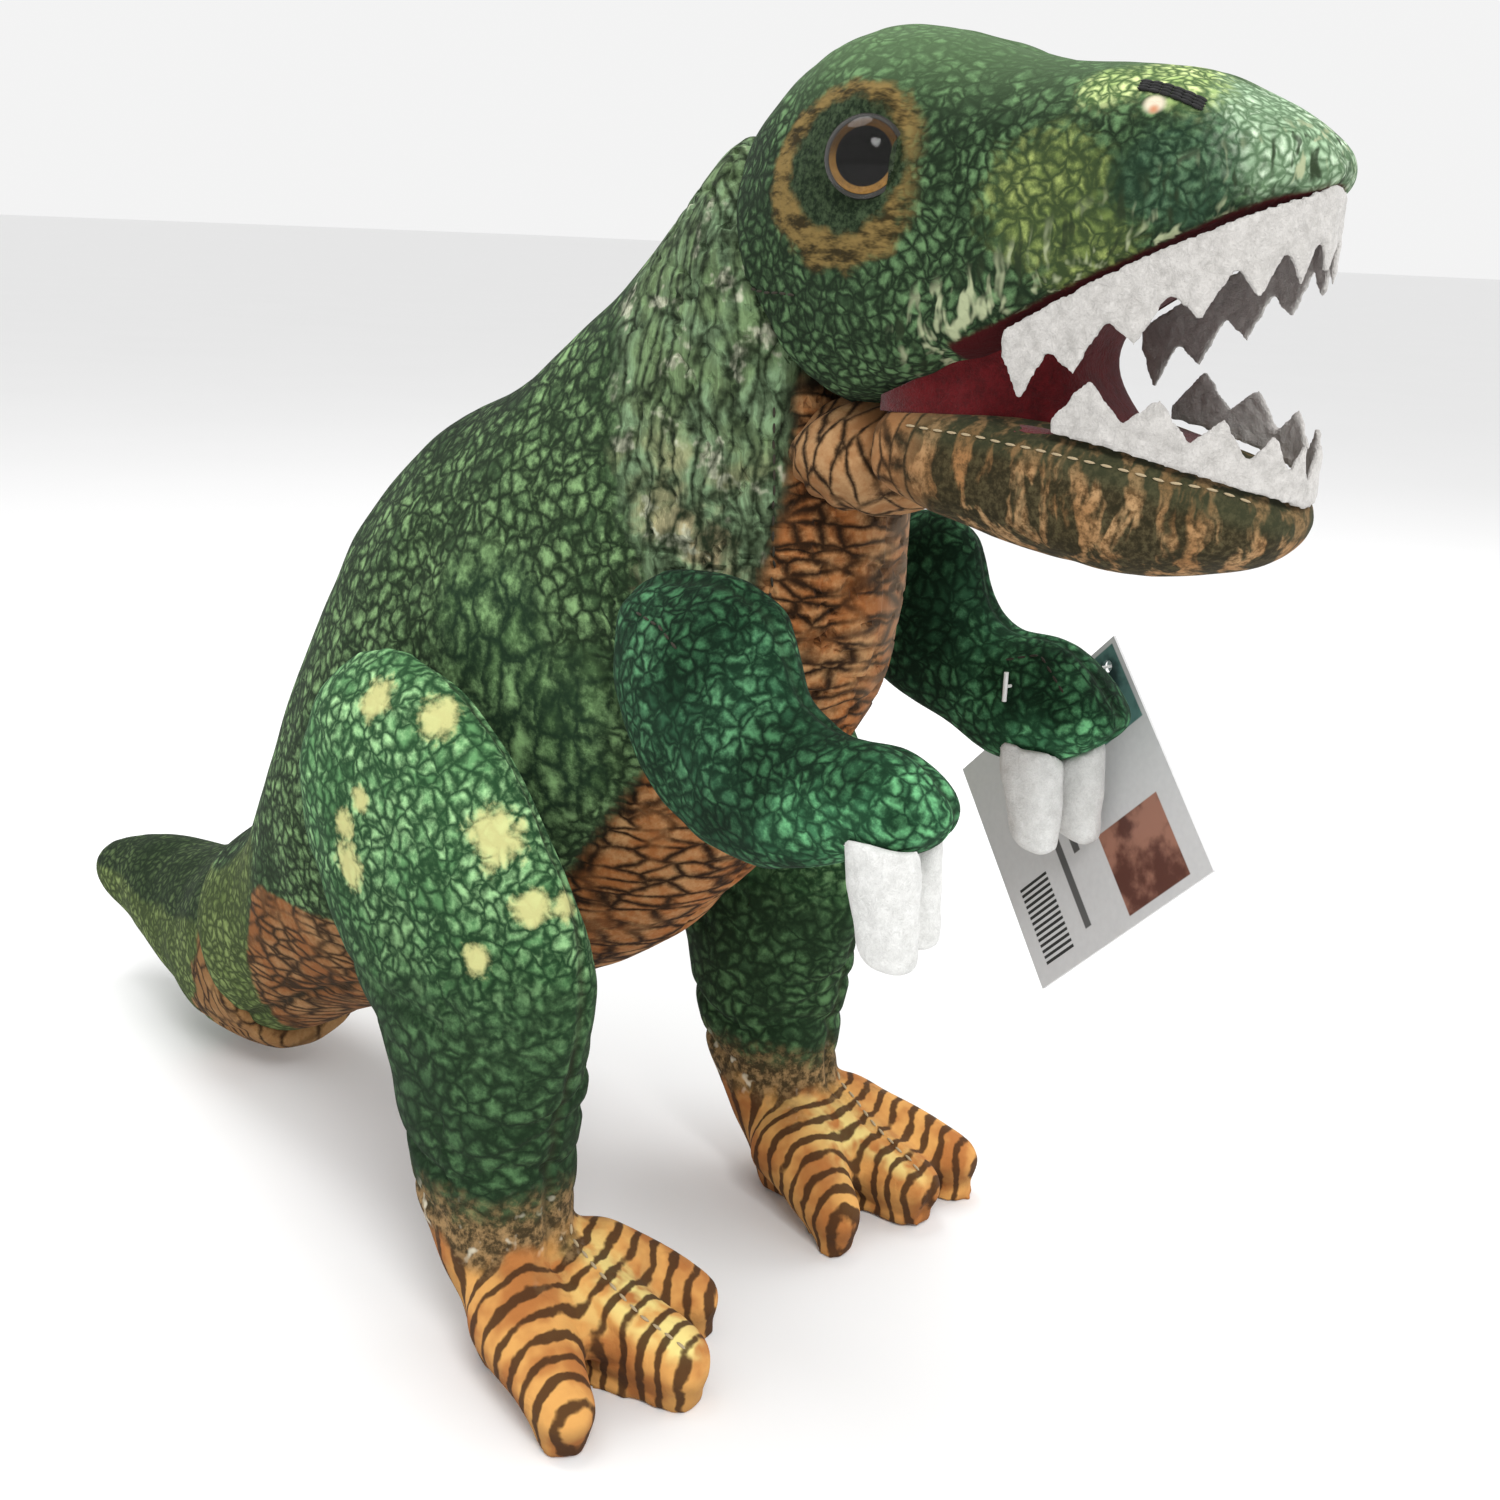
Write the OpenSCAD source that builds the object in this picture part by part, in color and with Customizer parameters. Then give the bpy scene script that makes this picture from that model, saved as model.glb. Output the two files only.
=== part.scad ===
// Stuffed toy dinosaur: sewn fabric panels over fibre stuffing, posed on two feet and a tail.
// +Z is up, the toy faces -Y, and its own right side is -X. Millimetres.

/* [Overall] */
// Standing height, floor to the top of the head
toy_height = 397; // [330:1:480]
// Length, jaw tip to tail tip
toy_length = 548; // [455:1:655]

/* [Widths] */
// Width of the body at the hips
hip_w = 128; // [106:1:154]
// Width of the chest behind the arms
chest_w = 104; // [86:1:125]
// Width of the neck
neck_w = 76; // [63:1:92]
// Width of the head at the cheeks
head_w = 92; // [76:1:111]
// Width of the snout at the nostrils
snout_w = 80; // [66:1:96]
// Width of the lower jaw
jaw_w = 76; // [63:1:92]
// Width of the tail where it leaves the body
tail_w = 70; // [58:1:84]
// Thickness of a thigh, side to side
thigh_w = 36; // [30:1:44]
// Thickness of a shin, side to side
shin_w = 49; // [40:1:59]
// Thickness of an arm, side to side
arm_w = 36; // [30:1:43]

/* [Fabric] */
// Thickness of a sewn fabric panel
fabric_t = 1.5; // [1:0.1:2]
// Thickness of the felt of the teeth
felt_t = 1.6; // [1:0.1:2.5]
// Play between the fabric and the stuffing
stuffing_gap = 1; // [0.9:0.05:1.5]
// Play between the trunk and a limb at its closest
limb_gap = 0.8; // [0.4:0.1:1.5]
// Angle of the belly panel to each side of the mid-line
belly_angle = 46; // [34:1:50]

/* [Feet] */
// Thickness of a sole
sole_t = 2; // [1.5:0.5:3]
// Radius of a toe at its tip
toe_r = 10; // [8.5:0.5:12]
// Distance of each shin from the mid-plane
stance = 71; // [60:1:85]

/* [Eyes] */
// Diameter of an eye's clear dome
eye_d = 20; // [16:1:24]
// Height of the dome above its backing
eye_dome_h = 6; // [5:0.5:8]
// Diameter of the stem that passes through the fabric
stem_d = 5; // [4:0.5:7]
// Diameter of the locking washer
washer_d = 16; // [13:1:19]

/* [Claws and teeth] */
// Diameter of a claw where it meets the hand
claw_d = 21; // [17:1:25]
// Length of a claw, with the part cut to the hand
claw_l = 34; // [28:1:40]
// Length of the upper teeth below their band
upper_tooth_l = 9; // [7:1:11]
// Depth of the felt band that carries the upper teeth
upper_band = 11; // [8:1:13]
// Length of the lower teeth above their band
lower_tooth_l = 8; // [6:1:10]
// Depth of the felt band that carries the lower teeth
lower_band = 7; // [5:1:8]

/* [Hang tag] */
// Width of the tag
tag_w = 84; // [70:1:90]
// Height of the tag
tag_h = 84; // [70:1:90]
// Thickness of the folded card
tag_t = 1; // [0.6:0.1:1.5]

/* [Motion] */
// Nod of the head to each side of rest
nod_range = 10; // [6:1:12]
// Opening of the jaw beyond rest
jaw_open = 8; // [4:1:10]
// Closing of the jaw from rest
jaw_close = 12; // [8:1:14]
// Swing of the tail to each side
tail_range = 15; // [8:1:18]
// Swing of an arm upwards
arm_up = 25; // [10:1:30]
// Swing of an arm downwards
arm_down = 15; // [8:1:18]
// Swing of a leg to each side of rest
leg_range = 8; // [4:1:10]

/* [Hidden] */

// The stations below are drawn for a toy 397 high and 548 long.
ky = toy_length / 548;
kz = toy_height / 397;
far = 400;
tip_r = 0.4;
joint_play = 0.3;
room_angle = 1.5;

head_step = 11 / 18;
mouth_back = 6 * head_step;
palate_play = 0.5;
seam_play = 0.3;
arm_seam_x = 57.7;
leg_seam_x = stance + 1.9;
lip_angle = 135;
upper_tooth_angle = 139;
tooth_play = 1.6;
eye_station = 3.42;
eye_angle = 80;
eye_seat = 2.5;
eye_yaw = 20;
eye_pitch = 8;
eye_rim_h = 3;
iris_t = 1.2;
stem_l = 14;
washer_depth = 8;
washer_t = 2;
stitch_d = 2.4;
jaw_back = 1.15;
rim_angle = 48;
lower_tooth_angle = 42;
claw_reach = 5;
claw_flat = 0.8;
claw_apart = 18;
claw_stagger = 5;
claw_root = 8;
claw_play = 0.4;
sole_play = 0.05;
toe_pad = 0.78;
label_w = 20;
label_l = 28;
label_t = 0.5;

// The hang tag, hung from its top right corner
tag_corner = [90, -181.5 * ky, 224 * kz];
tag_yaw = -110;
tag_tilt = -8.6;
tag_swing = 46;
tag_hole_in = 7;
tag_hole_d = 4;
fastener_start = [40.5, -171 * ky, 214 * kz];
fastener_past = 3;
t_bar_l = 9;
fastener_d = 1;

// Body colours
green = [0.16, 0.36, 0.17];
lime = [0.45, 0.56, 0.22];
orange = [0.75, 0.42, 0.16];
peach = [0.72, 0.52, 0.38];
fleece_red = [0.45, 0.03, 0.06];
felt_white = [0.93, 0.93, 0.92];
fibre = [0.9, 0.9, 0.86];

// Stations of a soft form: [upper y, upper z, lower y, lower z, half width, upper squareness,
// lower squareness, distance from the mid-plane]. A squareness of 1 is an ellipse, less is boxier.
trunk_rows = [
    [276, 49, 275, 43, 2, 1, 1, -8],
    [271, 61, 265, 38, 11, 1, 1, -9],
    [256, 68, 248, 32, 16, 1, 1, -11],
    [233, 73, 225, 24, tail_w * 0.33, 1, 1, -12],
    [206, 77, 197, 15, tail_w * 0.41, 1, 1, -11],
    [177, 84, 167, 5, tail_w * 0.48, 1, 1, -7],
    [146, 99, 131, 12, tail_w * 0.58, 1, 1, -3],
    [114, 124, 80, 42, hip_w * 0.36, 1, 1, 0],
    [99, 154, 26, 64, hip_w * 0.43, 1, 1, 0],
    [86, 184, -36, 90, hip_w * 0.49, 1, 1, 0],
    [72, 214, -88, 127, hip_w * 0.5, 1, 1, 0],
    [54, 245, -121, 168, hip_w * 0.48, 1, 1, 0],
    [20, 277, -144, 206, chest_w * 0.53, 1, 1, 0],
    [-21, 297, -153, 238, chest_w * 0.47, 1, 1, 0],
    [-55, 323, -153, 267, neck_w * 0.55, 1, 1, 0],
    [-83, 350, -148, 286, neck_w * 0.52, 1, 1, 0],
    [-103, 369, -144, 298, neck_w * 0.5, 1, 1, 0],
    [-122, 388, -140, 310, neck_w * 0.48, 1, 1, 0],
];
tail_seam = 6.1;
neck_seam = 16.2;

head_rows = [
    [-99, 357, -124, 286, head_w * 0.36, 1, 0.9, 0],
    [-114, 374, -140, 294, head_w * 0.41, 0.97, 0.8, 0],
    [-130, 388, -156, 299, head_w * 0.47, 0.93, 0.65, 0],
    [-151, 396, -172, 304, head_w * 0.5, 0.9, 0.5, 0],
    [-172, 394, -188, 311, head_w * 0.49, 0.88, 0.4, 0],
    [-192, 387, -203, 319, head_w * 0.46, 0.88, 0.36, 0],
    [-212, 385, -216, 327, snout_w * 0.5, 0.88, 0.36, 0],
    [-231, 384, -231, 336, snout_w * 0.47, 0.85, 0.36, 0],
    [-246, 379, -246, 344, snout_w * 0.41, 0.85, 0.4, 0],
    [-257, 374, -259, 351, snout_w * 0.31, 0.9, 0.5, 0],
    [-264, 368, -266, 355, snout_w * 0.17, 1, 0.8, 0],
    [-267.5, 362, -268.5, 359, 1.5, 1, 1, 0],
];

jaw_rows = [
    [-150, 301, -150, 281, jaw_w * 0.46, 0.4, 1, 0],
    [-166, 301, -166, 276, jaw_w * 0.48, 0.4, 0.95, 0],
    [-184, 301, -184, 271, jaw_w * 0.5, 0.4, 0.9, 0],
    [-202, 301, -202, 267, jaw_w * 0.5, 0.4, 0.9, 0],
    [-220, 299, -220, 264, jaw_w * 0.49, 0.4, 0.9, 0],
    [-237, 296, -237, 263, jaw_w * 0.45, 0.4, 0.9, 0],
    [-252, 292, -252, 266, jaw_w * 0.38, 0.4, 0.9, 0],
    [-263, 288.5, -263, 269, jaw_w * 0.27, 0.5, 1, 0],
    [-269, 285.5, -269, 275.5, jaw_w * 0.13, 0.7, 1, 0],
    [-271, 283, -271, 280.5, 1.5, 1, 1, 0],
];

leg_rows = [
    [-32, 219, -15, 217, 2, 1, 1, 76],
    [-57, 213, 0, 205, thigh_w * 0.3, 1, 1, 77],
    [-76, 196, 10, 184, thigh_w * 0.43, 1, 1, 77],
    [-93, 174, 12, 160, thigh_w * 0.5, 1, 1, 77],
    [-105, 152, 4, 136, thigh_w * 0.56, 1, 1, 75],
    [-107, 128, -11, 113, shin_w * 0.47, 1, 1, stance + 2],
    [-102, 104, -27, 91, shin_w * 0.49, 1, 1, stance],
    [-97, 79, -35, 69, shin_w * 0.5, 1, 1, stance],
    [-93, 57, -42, 50, shin_w * 0.48, 1, 1, stance],
    [-94, 38, -50, 35, shin_w * 0.45, 1, 1, stance],
    [-97, 20, -61, 19, shin_w * 0.42, 1, 1, stance],
    [-100, 2, -69, 2, shin_w * 0.38, 1, 1, stance],
];
// Toe tips, [from the shin outwards, y, z of the centre, radius]
toes_right = [[26, -123, 12, toe_r], [-12, -134, 13, toe_r + 1], [-41, -116, 12, toe_r]];
toes_left = [[30, -133, 14, toe_r], [4, -131, 14, toe_r + 1], [-30, -122, 12, toe_r]];
function toe_tips(side) = side == "right" ? toes_right : toes_left;

right_arm_rows = [
    [-139, 254, -118, 254, 2, 1, 1, 52],
    [-155, 249, -103, 245, arm_w * 0.36, 1, 1, 53],
    [-161, 240, -101, 230, arm_w * 0.47, 1, 1, 55],
    [-165, 232, -108, 211, arm_w * 0.5, 1, 1, 57],
    [-168, 227, -122, 193, arm_w * 0.5, 1, 1, 59],
    [-173, 224, -142, 182, arm_w * 0.49, 1, 1, 60],
    [-180, 222, -163, 181, arm_w * 0.47, 1, 1, 61],
    [-189, 222, -181, 186, arm_w * 0.45, 1, 1, 62],
    [-198, 222, -195, 192, arm_w * 0.44, 1, 1, 62],
    [-207, 218, -205, 195, arm_w * 0.42, 1, 1, 62],
    [-213, 212, -213, 200, arm_w * 0.3, 1, 1, 62],
    [-215, 208, -215, 205, 1.5, 1, 1, 62],
];
left_arm_rows = [
    [-138, 262, -116, 260, 2, 1, 1, 53],
    [-147, 258, -104, 248, arm_w * 0.36, 1, 1, 54],
    [-151, 248, -102, 234, arm_w * 0.47, 1, 1, 55],
    [-154, 238, -106, 215, arm_w * 0.5, 1, 1, 56],
    [-158, 230, -121, 204, arm_w * 0.5, 1, 1, 57],
    [-164, 227, -139, 196, arm_w * 0.49, 1, 1, 58],
    [-172, 228, -157, 188, arm_w * 0.49, 1, 1, 59],
    [-180, 227, -170, 186, arm_w * 0.49, 1, 1, 59],
    [-188, 223, -182, 189, arm_w * 0.47, 1, 1, 59],
    [-195, 216, -193, 195, arm_w * 0.42, 1, 1, 59],
    [-199, 210, -199, 201, arm_w * 0.28, 1, 1, 59],
    [-201, 207, -201, 204, 1.5, 1, 1, 59],
];
function arm_rows(side) = side == "right" ? right_arm_rows : left_arm_rows;
function claw_station(side) = side == "right" ? 8.45 : 7.7;

// ---- points of the soft forms ----

function spline(rows, t) =
    let (n = len(rows) - 1, i = min(floor(max(t, 0)), n - 1), f = t - i,
         a = rows[max(i - 1, 0)], b = rows[i], c = rows[i + 1], d = rows[min(i + 2, n)])
    b + 0.5 * f * (c - a + f * (2 * a - 5 * b + 4 * c - d + f * (3 * (b - c) + d - a)));

function squared(v, e) = sign(v) * pow(abs(v), e);

// A point at station t, angle a from the upper mid-line round the right side, moved out by g
function skin(rows, t, a, g = 0) =
    let (r = spline(rows, t), up = [(r[0] - r[2]) * ky, (r[1] - r[3]) * kz], half = norm(up) / 2,
         e = cos(a) < 0 ? r[6] : r[5],
         s = max(half + g, tip_r) * squared(cos(a), e) / (2 * half))
    [-r[7] - max(r[4] + g, tip_r) * squared(sin(a), e),
     (r[0] + r[2]) * ky / 2 + up[0] * s, (r[1] + r[3]) * kz / 2 + up[1] * s];

function steps(from, to, n) = [for (i = [0:n]) from + (to - from) * i / n];

// A closed form through the stations from t0 to t1
module soft_form(rows, t0, t1, count, around, g = 0) {
    last = count * around;
    points = [for (t = steps(t0, t1, count), k = [0:around - 1]) skin(rows, t, 360 * k / around, g)];
    walls = [for (i = [0:count - 1], k = [0:around - 1], half = [0, 1])
        let (a = i * around + k, b = i * around + (k + 1) % around)
        half == 0 ? [a, a + around, b] : [b, a + around, b + around]];
    ends = [for (k = [1:around - 2], end = [0, 1])
        end == 0 ? [0, k, k + 1] : [last, last + k + 1, last + k]];
    polyhedron(points, concat(walls, ends), convexity = 6);
}

// A sheet with a thickness, between two grids of points of the same size
module sheet(outer, inner) {
    m = len(outer);
    n = len(outer[0]);
    all = m * n;
    points = [for (grid = [outer, inner], line = grid, p = line) p];
    faces = [for (i = [0:m - 2], j = [0:n - 2], half = [0, 1])
        let (a = i * n + j, b = a + 1, c = a + n, d = c + 1) half == 0 ? [a, c, b] : [b, c, d]];
    back = [for (f = faces) [f[0] + all, f[2] + all, f[1] + all]];
    rim = concat(
        [for (j = [0:n - 2]) [j, j + 1]],
        [for (i = [0:m - 2]) [i * n + n - 1, (i + 1) * n + n - 1]],
        [for (j = [n - 2:-1:0]) [(m - 1) * n + j + 1, (m - 1) * n + j]],
        [for (i = [m - 2:-1:0]) [(i + 1) * n, i * n]]);
    edges = [for (e = rim, half = [0, 1])
        half == 0 ? [e[0], e[1], e[0] + all] : [e[1], e[1] + all, e[0] + all]];
    polyhedron(points, concat(faces, back, edges), convexity = 8);
}

// A fabric panel over part of a soft form
module panel(rows, t0, t1, count, a0, a1, across, thick = fabric_t, g = 0)
    sheet([for (t = steps(t0, t1, count)) [for (a = steps(a0, a1, across)) skin(rows, t, a, g)]],
          [for (t = steps(t0, t1, count)) [for (a = steps(a0, a1, across)) skin(rows, t, a, g - thick)]]);

// One sewn piece, as a single closed surface
module sewn() resize([0, 0, 0]) children();

module on_side(side) mirror([side == "left" ? 1 : 0, 0, 0]) children();

// ---- joints ----

function middle(rows, t) = let (a = skin(rows, t, 0), b = skin(rows, t, 180))
    [(a[1] + b[1]) / 2, (a[2] + b[2]) / 2];
function lean(rows, t) = let (a = skin(rows, t, 0), b = skin(rows, t, 180)) -atan2(a[1] - b[1], a[2] - b[2]);

neck_pivot = middle(trunk_rows, neck_seam);
neck_lean = lean(trunk_rows, neck_seam);
tail_pivot = middle(trunk_rows, tail_seam);
tail_lean = lean(trunk_rows, tail_seam);
tail_x = -spline(trunk_rows, tail_seam)[7];
jaw_pivot = [-164 * ky, 302 * kz];
shoulder_pivot = [-130 * ky, 230 * kz];
hip_pivot = [-42 * ky, 165 * kz];

module turned(pivot, angle)
    translate([0, pivot[0], pivot[1]]) rotate([angle, 0, 0]) translate([0, -pivot[0], -pivot[1]]) children();

// A bow tie about the origin, its bars along the second axis: the room for a bend of the whole angle
module bow_tie(angle) {
    w = joint_play + far * tan(angle / 2);
    polygon([[-joint_play, 0], [-w, far], [w, far], [joint_play, 0], [w, -far], [-w, -far]]);
}

module neck_room()
    translate([0, neck_pivot[0], neck_pivot[1]]) rotate([neck_lean, 0, 0]) rotate([90, 0, 90])
        linear_extrude(far, center = true) bow_tie(nod_range + room_angle);

module tail_room()
    translate([tail_x, tail_pivot[0], tail_pivot[1]]) rotate([tail_lean, 0, 0])
        linear_extrude(far, center = true) rotate(90) bow_tie(tail_range + room_angle);

// Everything behind the neck seam
module behind_neck()
    translate([0, neck_pivot[0], neck_pivot[1]]) rotate([neck_lean, 0, 0])
        translate([-far, 0, -far]) cube(2 * far);

// The trunk grown by the limb play, at each end and the middle of a limb's swing
module trunk_swept(pivot, angles)
    for (angle = angles) turned(pivot, -angle) soft_form(trunk_rows, 5, 17, 26, 24, limb_gap);

// ---- torso ----

module torso_panel(a0, a1, across) sewn() difference() {
    panel(trunk_rows, tail_seam, neck_seam, 19, a0, a1, across);
    neck_room();
    tail_room();
}

module side_panel_right() color(green) torso_panel(0, 180 - belly_angle, 9);
module side_panel_left() color(green) torso_panel(180 + belly_angle + seam_play, 360, 9);
module belly_panel() color(orange) torso_panel(180 - belly_angle, 180 + belly_angle, 6);

module torso_stuffing() color(fibre) sewn() difference() {
    soft_form(trunk_rows, tail_seam, neck_seam, 16, 20, -fabric_t - 2 * stuffing_gap);
    neck_room();
    tail_room();
}

// A blank sewn-in label that hangs from the left side seam
module care_label() color(felt_white) {
    at = skin(trunk_rows, 8, 90, 1);
    translate([-at[0], at[1] - label_w / 2, at[2] - label_l]) cube([label_t, label_w, label_l]);
}

// ---- tail ----

module tail_panel(a0, a1, across) sewn() difference() {
    panel(trunk_rows, 0, tail_seam, 11, a0, a1, across);
    tail_room();
}

module tail_panel_right() color(green) tail_panel(0, 180 - belly_angle, 6);
module tail_panel_left() color(green) tail_panel(180 + belly_angle, 360, 6);
module tail_under_panel() color(orange) tail_panel(180 - belly_angle, 180 + belly_angle, 4);

module tail_stuffing() color(fibre) sewn() difference() {
    soft_form(trunk_rows, 0.4, tail_seam, 10, 16, -fabric_t - stuffing_gap);
    tail_room();
}

// ---- head ----

// The seam between the head's skin and the palate: along the lip, and together behind the mouth
function lip_seam(t) = 180 - (180 - lip_angle) * min(max((t - mouth_back) / head_step, 0), 1);

module head_panel(side) color(green) on_side(side) sewn() difference() {
    sheet([for (t = steps(0, 11, 18)) [for (a = steps(0, lip_seam(t), 12)) skin(head_rows, t, a)]],
          [for (t = steps(0, 11, 18))
              [for (a = steps(0, lip_seam(t), 12)) skin(head_rows, t, a, -fabric_t)]]);
    behind_neck();
    neck_room();
    eye_hole();
}

module head_panel_right() head_panel("right");
module head_panel_left() head_panel("left");

module head_stuffing() color(fibre) sewn() difference() {
    soft_form(head_rows, 0, 10.3, 14, 24, -fabric_t - 4 * stuffing_gap);
    behind_neck();
    neck_room();
    for (side = ["right", "left"]) on_side(side) eye_pocket();
}

function across(t) = steps(lip_seam(t) + palate_play, 360 - lip_seam(t) - palate_play, 6);

module palate_lining() color(fleece_red) sewn() {
    stations = steps(mouth_back + head_step, 11 - head_step, 10);
    sheet([for (t = stations) [for (a = across(t)) skin(head_rows, t, a)]],
          [for (t = stations) [for (a = across(t)) skin(head_rows, t, a, -fabric_t)]]);
}

// A band of felt teeth along a lip: s runs from -1 to 1 round the mouth, and each tooth takes two steps
function lip_point(rows, t0, t1, a, s, g) =
    let (p = skin(rows, t1 + (t0 - t1) * abs(s), a, g)) [p[0] * (s < 0 ? -1 : 1), p[1], p[2]];

module teeth(rows, t0, t1, a, count, first_tip, band, tooth, up) {
    line = [for (i = [-count:count]) lip_point(rows, t0, t1, a, i / count, tooth_play)];
    out = [for (i = [0:2 * count])
        let (b = line[max(i - 1, 0)], c = line[min(i + 1, 2 * count)],
            d = [c[1] - b[1], b[0] - c[0], 0]) d / norm(d)];
    ends = [for (i = [-count:count])
        abs(i) == count ? band * 0.5 : band + (abs(i) % 2 == first_tip ? tooth : 0)];
    face = [for (side = [1, -1]) [for (edge = [0, 1]) [for (i = [0:2 * count])
        line[i] + out[i] * side * felt_t / 2 + [0, 0, up * edge * ends[i]]]]];
    if (up > 0) sheet(face[0], face[1]); else sheet(face[1], face[0]);
}

module upper_teeth() color(felt_white) sewn() difference() {
    teeth(head_rows, 5.2, 11, upper_tooth_angle, 13, 0, upper_band, upper_tooth_l, -1);
}

// ---- eyes ----

// Places a piece on an eye's axis, which points out of the head
module on_eye(side) on_side(side)
    translate(skin(head_rows, eye_station, eye_angle, -eye_seat))
        rotate([0, 90 - eye_pitch, 180 + eye_yaw]) children();

module eye_hole() on_eye("right") {
    cylinder(h = eye_d, d = eye_d + 1, $fn = 24);
    translate([0, 0, -stem_l]) cylinder(h = 2 * stem_l, d = stem_d + 0.6, $fn = 16);
}
module eye_pocket() on_eye("right") {
    cylinder(h = eye_d, d = eye_d + 1, $fn = 24);
    translate([0, 0, -stem_l]) cylinder(h = 2 * stem_l, d = stem_d + 0.6, $fn = 16);
    translate([0, 0, -washer_depth - 1]) cylinder(h = washer_t + 2, d = washer_d + 1, $fn = 24);
}

// A shallow clear dome over the iris
module eye_lens(side) color([0.8, 0.85, 0.9, 0.4]) on_eye(side) {
    ball_r = (eye_d * eye_d / 4 + eye_dome_h * eye_dome_h) / (2 * eye_dome_h);
    translate([0, 0, eye_rim_h]) difference() {
        translate([0, 0, eye_dome_h - ball_r]) sphere(ball_r, $fn = 60);
        translate([0, 0, -2 * ball_r]) cube([4 * ball_r, 4 * ball_r, 4 * ball_r], center = true);
    }
}
module eye_iris(side) color([0.55, 0.36, 0.1]) on_eye(side)
    translate([0, 0, eye_rim_h - iris_t]) cylinder(h = iris_t, d = eye_d - 2, $fn = 60);
module eye_stem(side) color([0.05, 0.05, 0.05]) on_eye(side) {
    difference() {
        cylinder(h = eye_rim_h, d = eye_d, $fn = 60);
        translate([0, 0, eye_rim_h - iris_t]) cylinder(h = eye_rim_h, d = eye_d - 2, $fn = 60);
    }
    translate([0, 0, -stem_l]) cylinder(h = stem_l, d = stem_d, $fn = 32);
}
module eye_washer(side) color(felt_white) on_eye(side)
    translate([0, 0, -washer_depth]) difference() {
        cylinder(h = washer_t, d = washer_d, $fn = 48);
        translate([0, 0, -1]) cylinder(h = washer_t + 2, d = stem_d + 0.1, $fn = 32);
    }

module eye_lens_right() eye_lens("right");
module eye_lens_left() eye_lens("left");
module eye_iris_right() eye_iris("right");
module eye_iris_left() eye_iris("left");
module eye_stem_right() eye_stem("right");
module eye_stem_left() eye_stem("left");
module eye_washer_right() eye_washer("right");
module eye_washer_left() eye_washer("left");

// Two bars of black thread on top of the snout
module nostril_stitches() color([0.03, 0.03, 0.03])
    for (side = ["right", "left"]) on_side(side) {
        a = skin(head_rows, 6.7, 38, stitch_d / 2 + 0.3);
        b = skin(head_rows, 7.4, 42, stitch_d / 2 + 0.3);
        d = b - a;
        translate(a) rotate([0, acos(d[2] / norm(d)), atan2(d[1], d[0])])
            cylinder(h = norm(d), d = stitch_d, $fn = 24);
    }

// ---- jaw ----

module jaw_cut() difference() { children(); neck_room(); }

module jaw_skin() color(peach) sewn() jaw_cut()
    panel(jaw_rows, jaw_back, 9, 12, rim_angle, 360 - rim_angle, 14);
module jaw_lining() color(fleece_red) sewn() jaw_cut()
    panel(jaw_rows, jaw_back, 9, 12, -rim_angle, rim_angle, 6);
module jaw_stuffing() color(fibre) sewn() jaw_cut()
    soft_form(jaw_rows, jaw_back, 8.6, 12, 20, -fabric_t - stuffing_gap);
module lower_teeth() color(felt_white) sewn()
    teeth(jaw_rows, 3.9, 9, lower_tooth_angle, 10, 1, lower_band, lower_tooth_l, 1);

// ---- arms ----

// The tips of a limb are closed, so its inside ends short of them
function tip_in(g) = g < 0 ? 0.3 : 0;

module arm_form(side, g) soft_form(arm_rows(side), tip_in(g), 11 - tip_in(g), 18, 16, g);

module arm_panel(side, outer) color(green) on_side(side) sewn() difference() {
    arm_form(side, 0);
    arm_form(side, -fabric_t);
    trunk_swept(shoulder_pivot, [-arm_up, 0, arm_down]);
    translate([outer ? -arm_seam_x : -arm_seam_x - far, -far, 0]) cube([far, 2 * far, far]);
}

module arm_stuffing(side) color(fibre) on_side(side) sewn() difference() {
    soft_form(arm_rows(side), 0.4, 10.6, 12, 12, -fabric_t - 1.5 * stuffing_gap);
    trunk_swept(shoulder_pivot, [-arm_up, 0, arm_down]);
}

module arm_outer_right() arm_panel("right", true);
module arm_inner_right() arm_panel("right", false);
module arm_stuffing_right() arm_stuffing("right");
module arm_outer_left() arm_panel("left", true);
module arm_inner_left() arm_panel("left", false);
module arm_stuffing_left() arm_stuffing("left");

// A blunt fleece claw, its top cut to the underside of the hand; the inner one sits further back
function claw_rows(at) = [for (f = [0, 0.2, 0.45, 0.72, 0.92, 1])
    let (r = claw_d / 2 * (f == 1 ? 0.3 : 1 - 0.32 * f * f),
         z = at[2] - claw_l * f, y = at[1] - claw_reach * f)
    [(y - r) / ky, (z - r * 0.1) / kz, (y + r) / ky, (z + r * 0.1) / kz, r * claw_flat, 1, 1, -at[0]]];

module claw(side, way) color(felt_white) on_side(side) sewn() difference() {
    at = skin(arm_rows(side), claw_station(side), 180);
    soft_form(claw_rows(at + [-way * claw_apart / 2, -way * claw_stagger / 2, claw_root]), 0, 5, 10, 14);
    arm_form(side, claw_play);
}

module claw_outer_right() claw("right", 1);
module claw_inner_right() claw("right", -1);
module claw_outer_left() claw("left", 1);
module claw_inner_left() claw("left", -1);

// ---- legs ----

module toe(tip, g) hull() {
    translate([-stance - tip[0] * 0.5, -91 * ky, 23]) sphere(17 + g, $fn = 12);
    translate([-stance - tip[0], tip[1] * ky, tip[2]]) sphere(tip[3] + g, $fn = 12);
}

module leg_form(side, g, n, around) intersection() {
    union() {
        soft_form(leg_rows, tip_in(g), 11, n, around, g);
        for (tip = toe_tips(side)) toe(tip, g);
    }
    translate([-far, -far, sole_t]) cube([2 * far, 2 * far, far]);
}

module leg_trimmed(side, g, n, around) difference() {
    leg_form(side, g, n, around);
    trunk_swept(hip_pivot, [-leg_range, 0, leg_range]);
}

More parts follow.
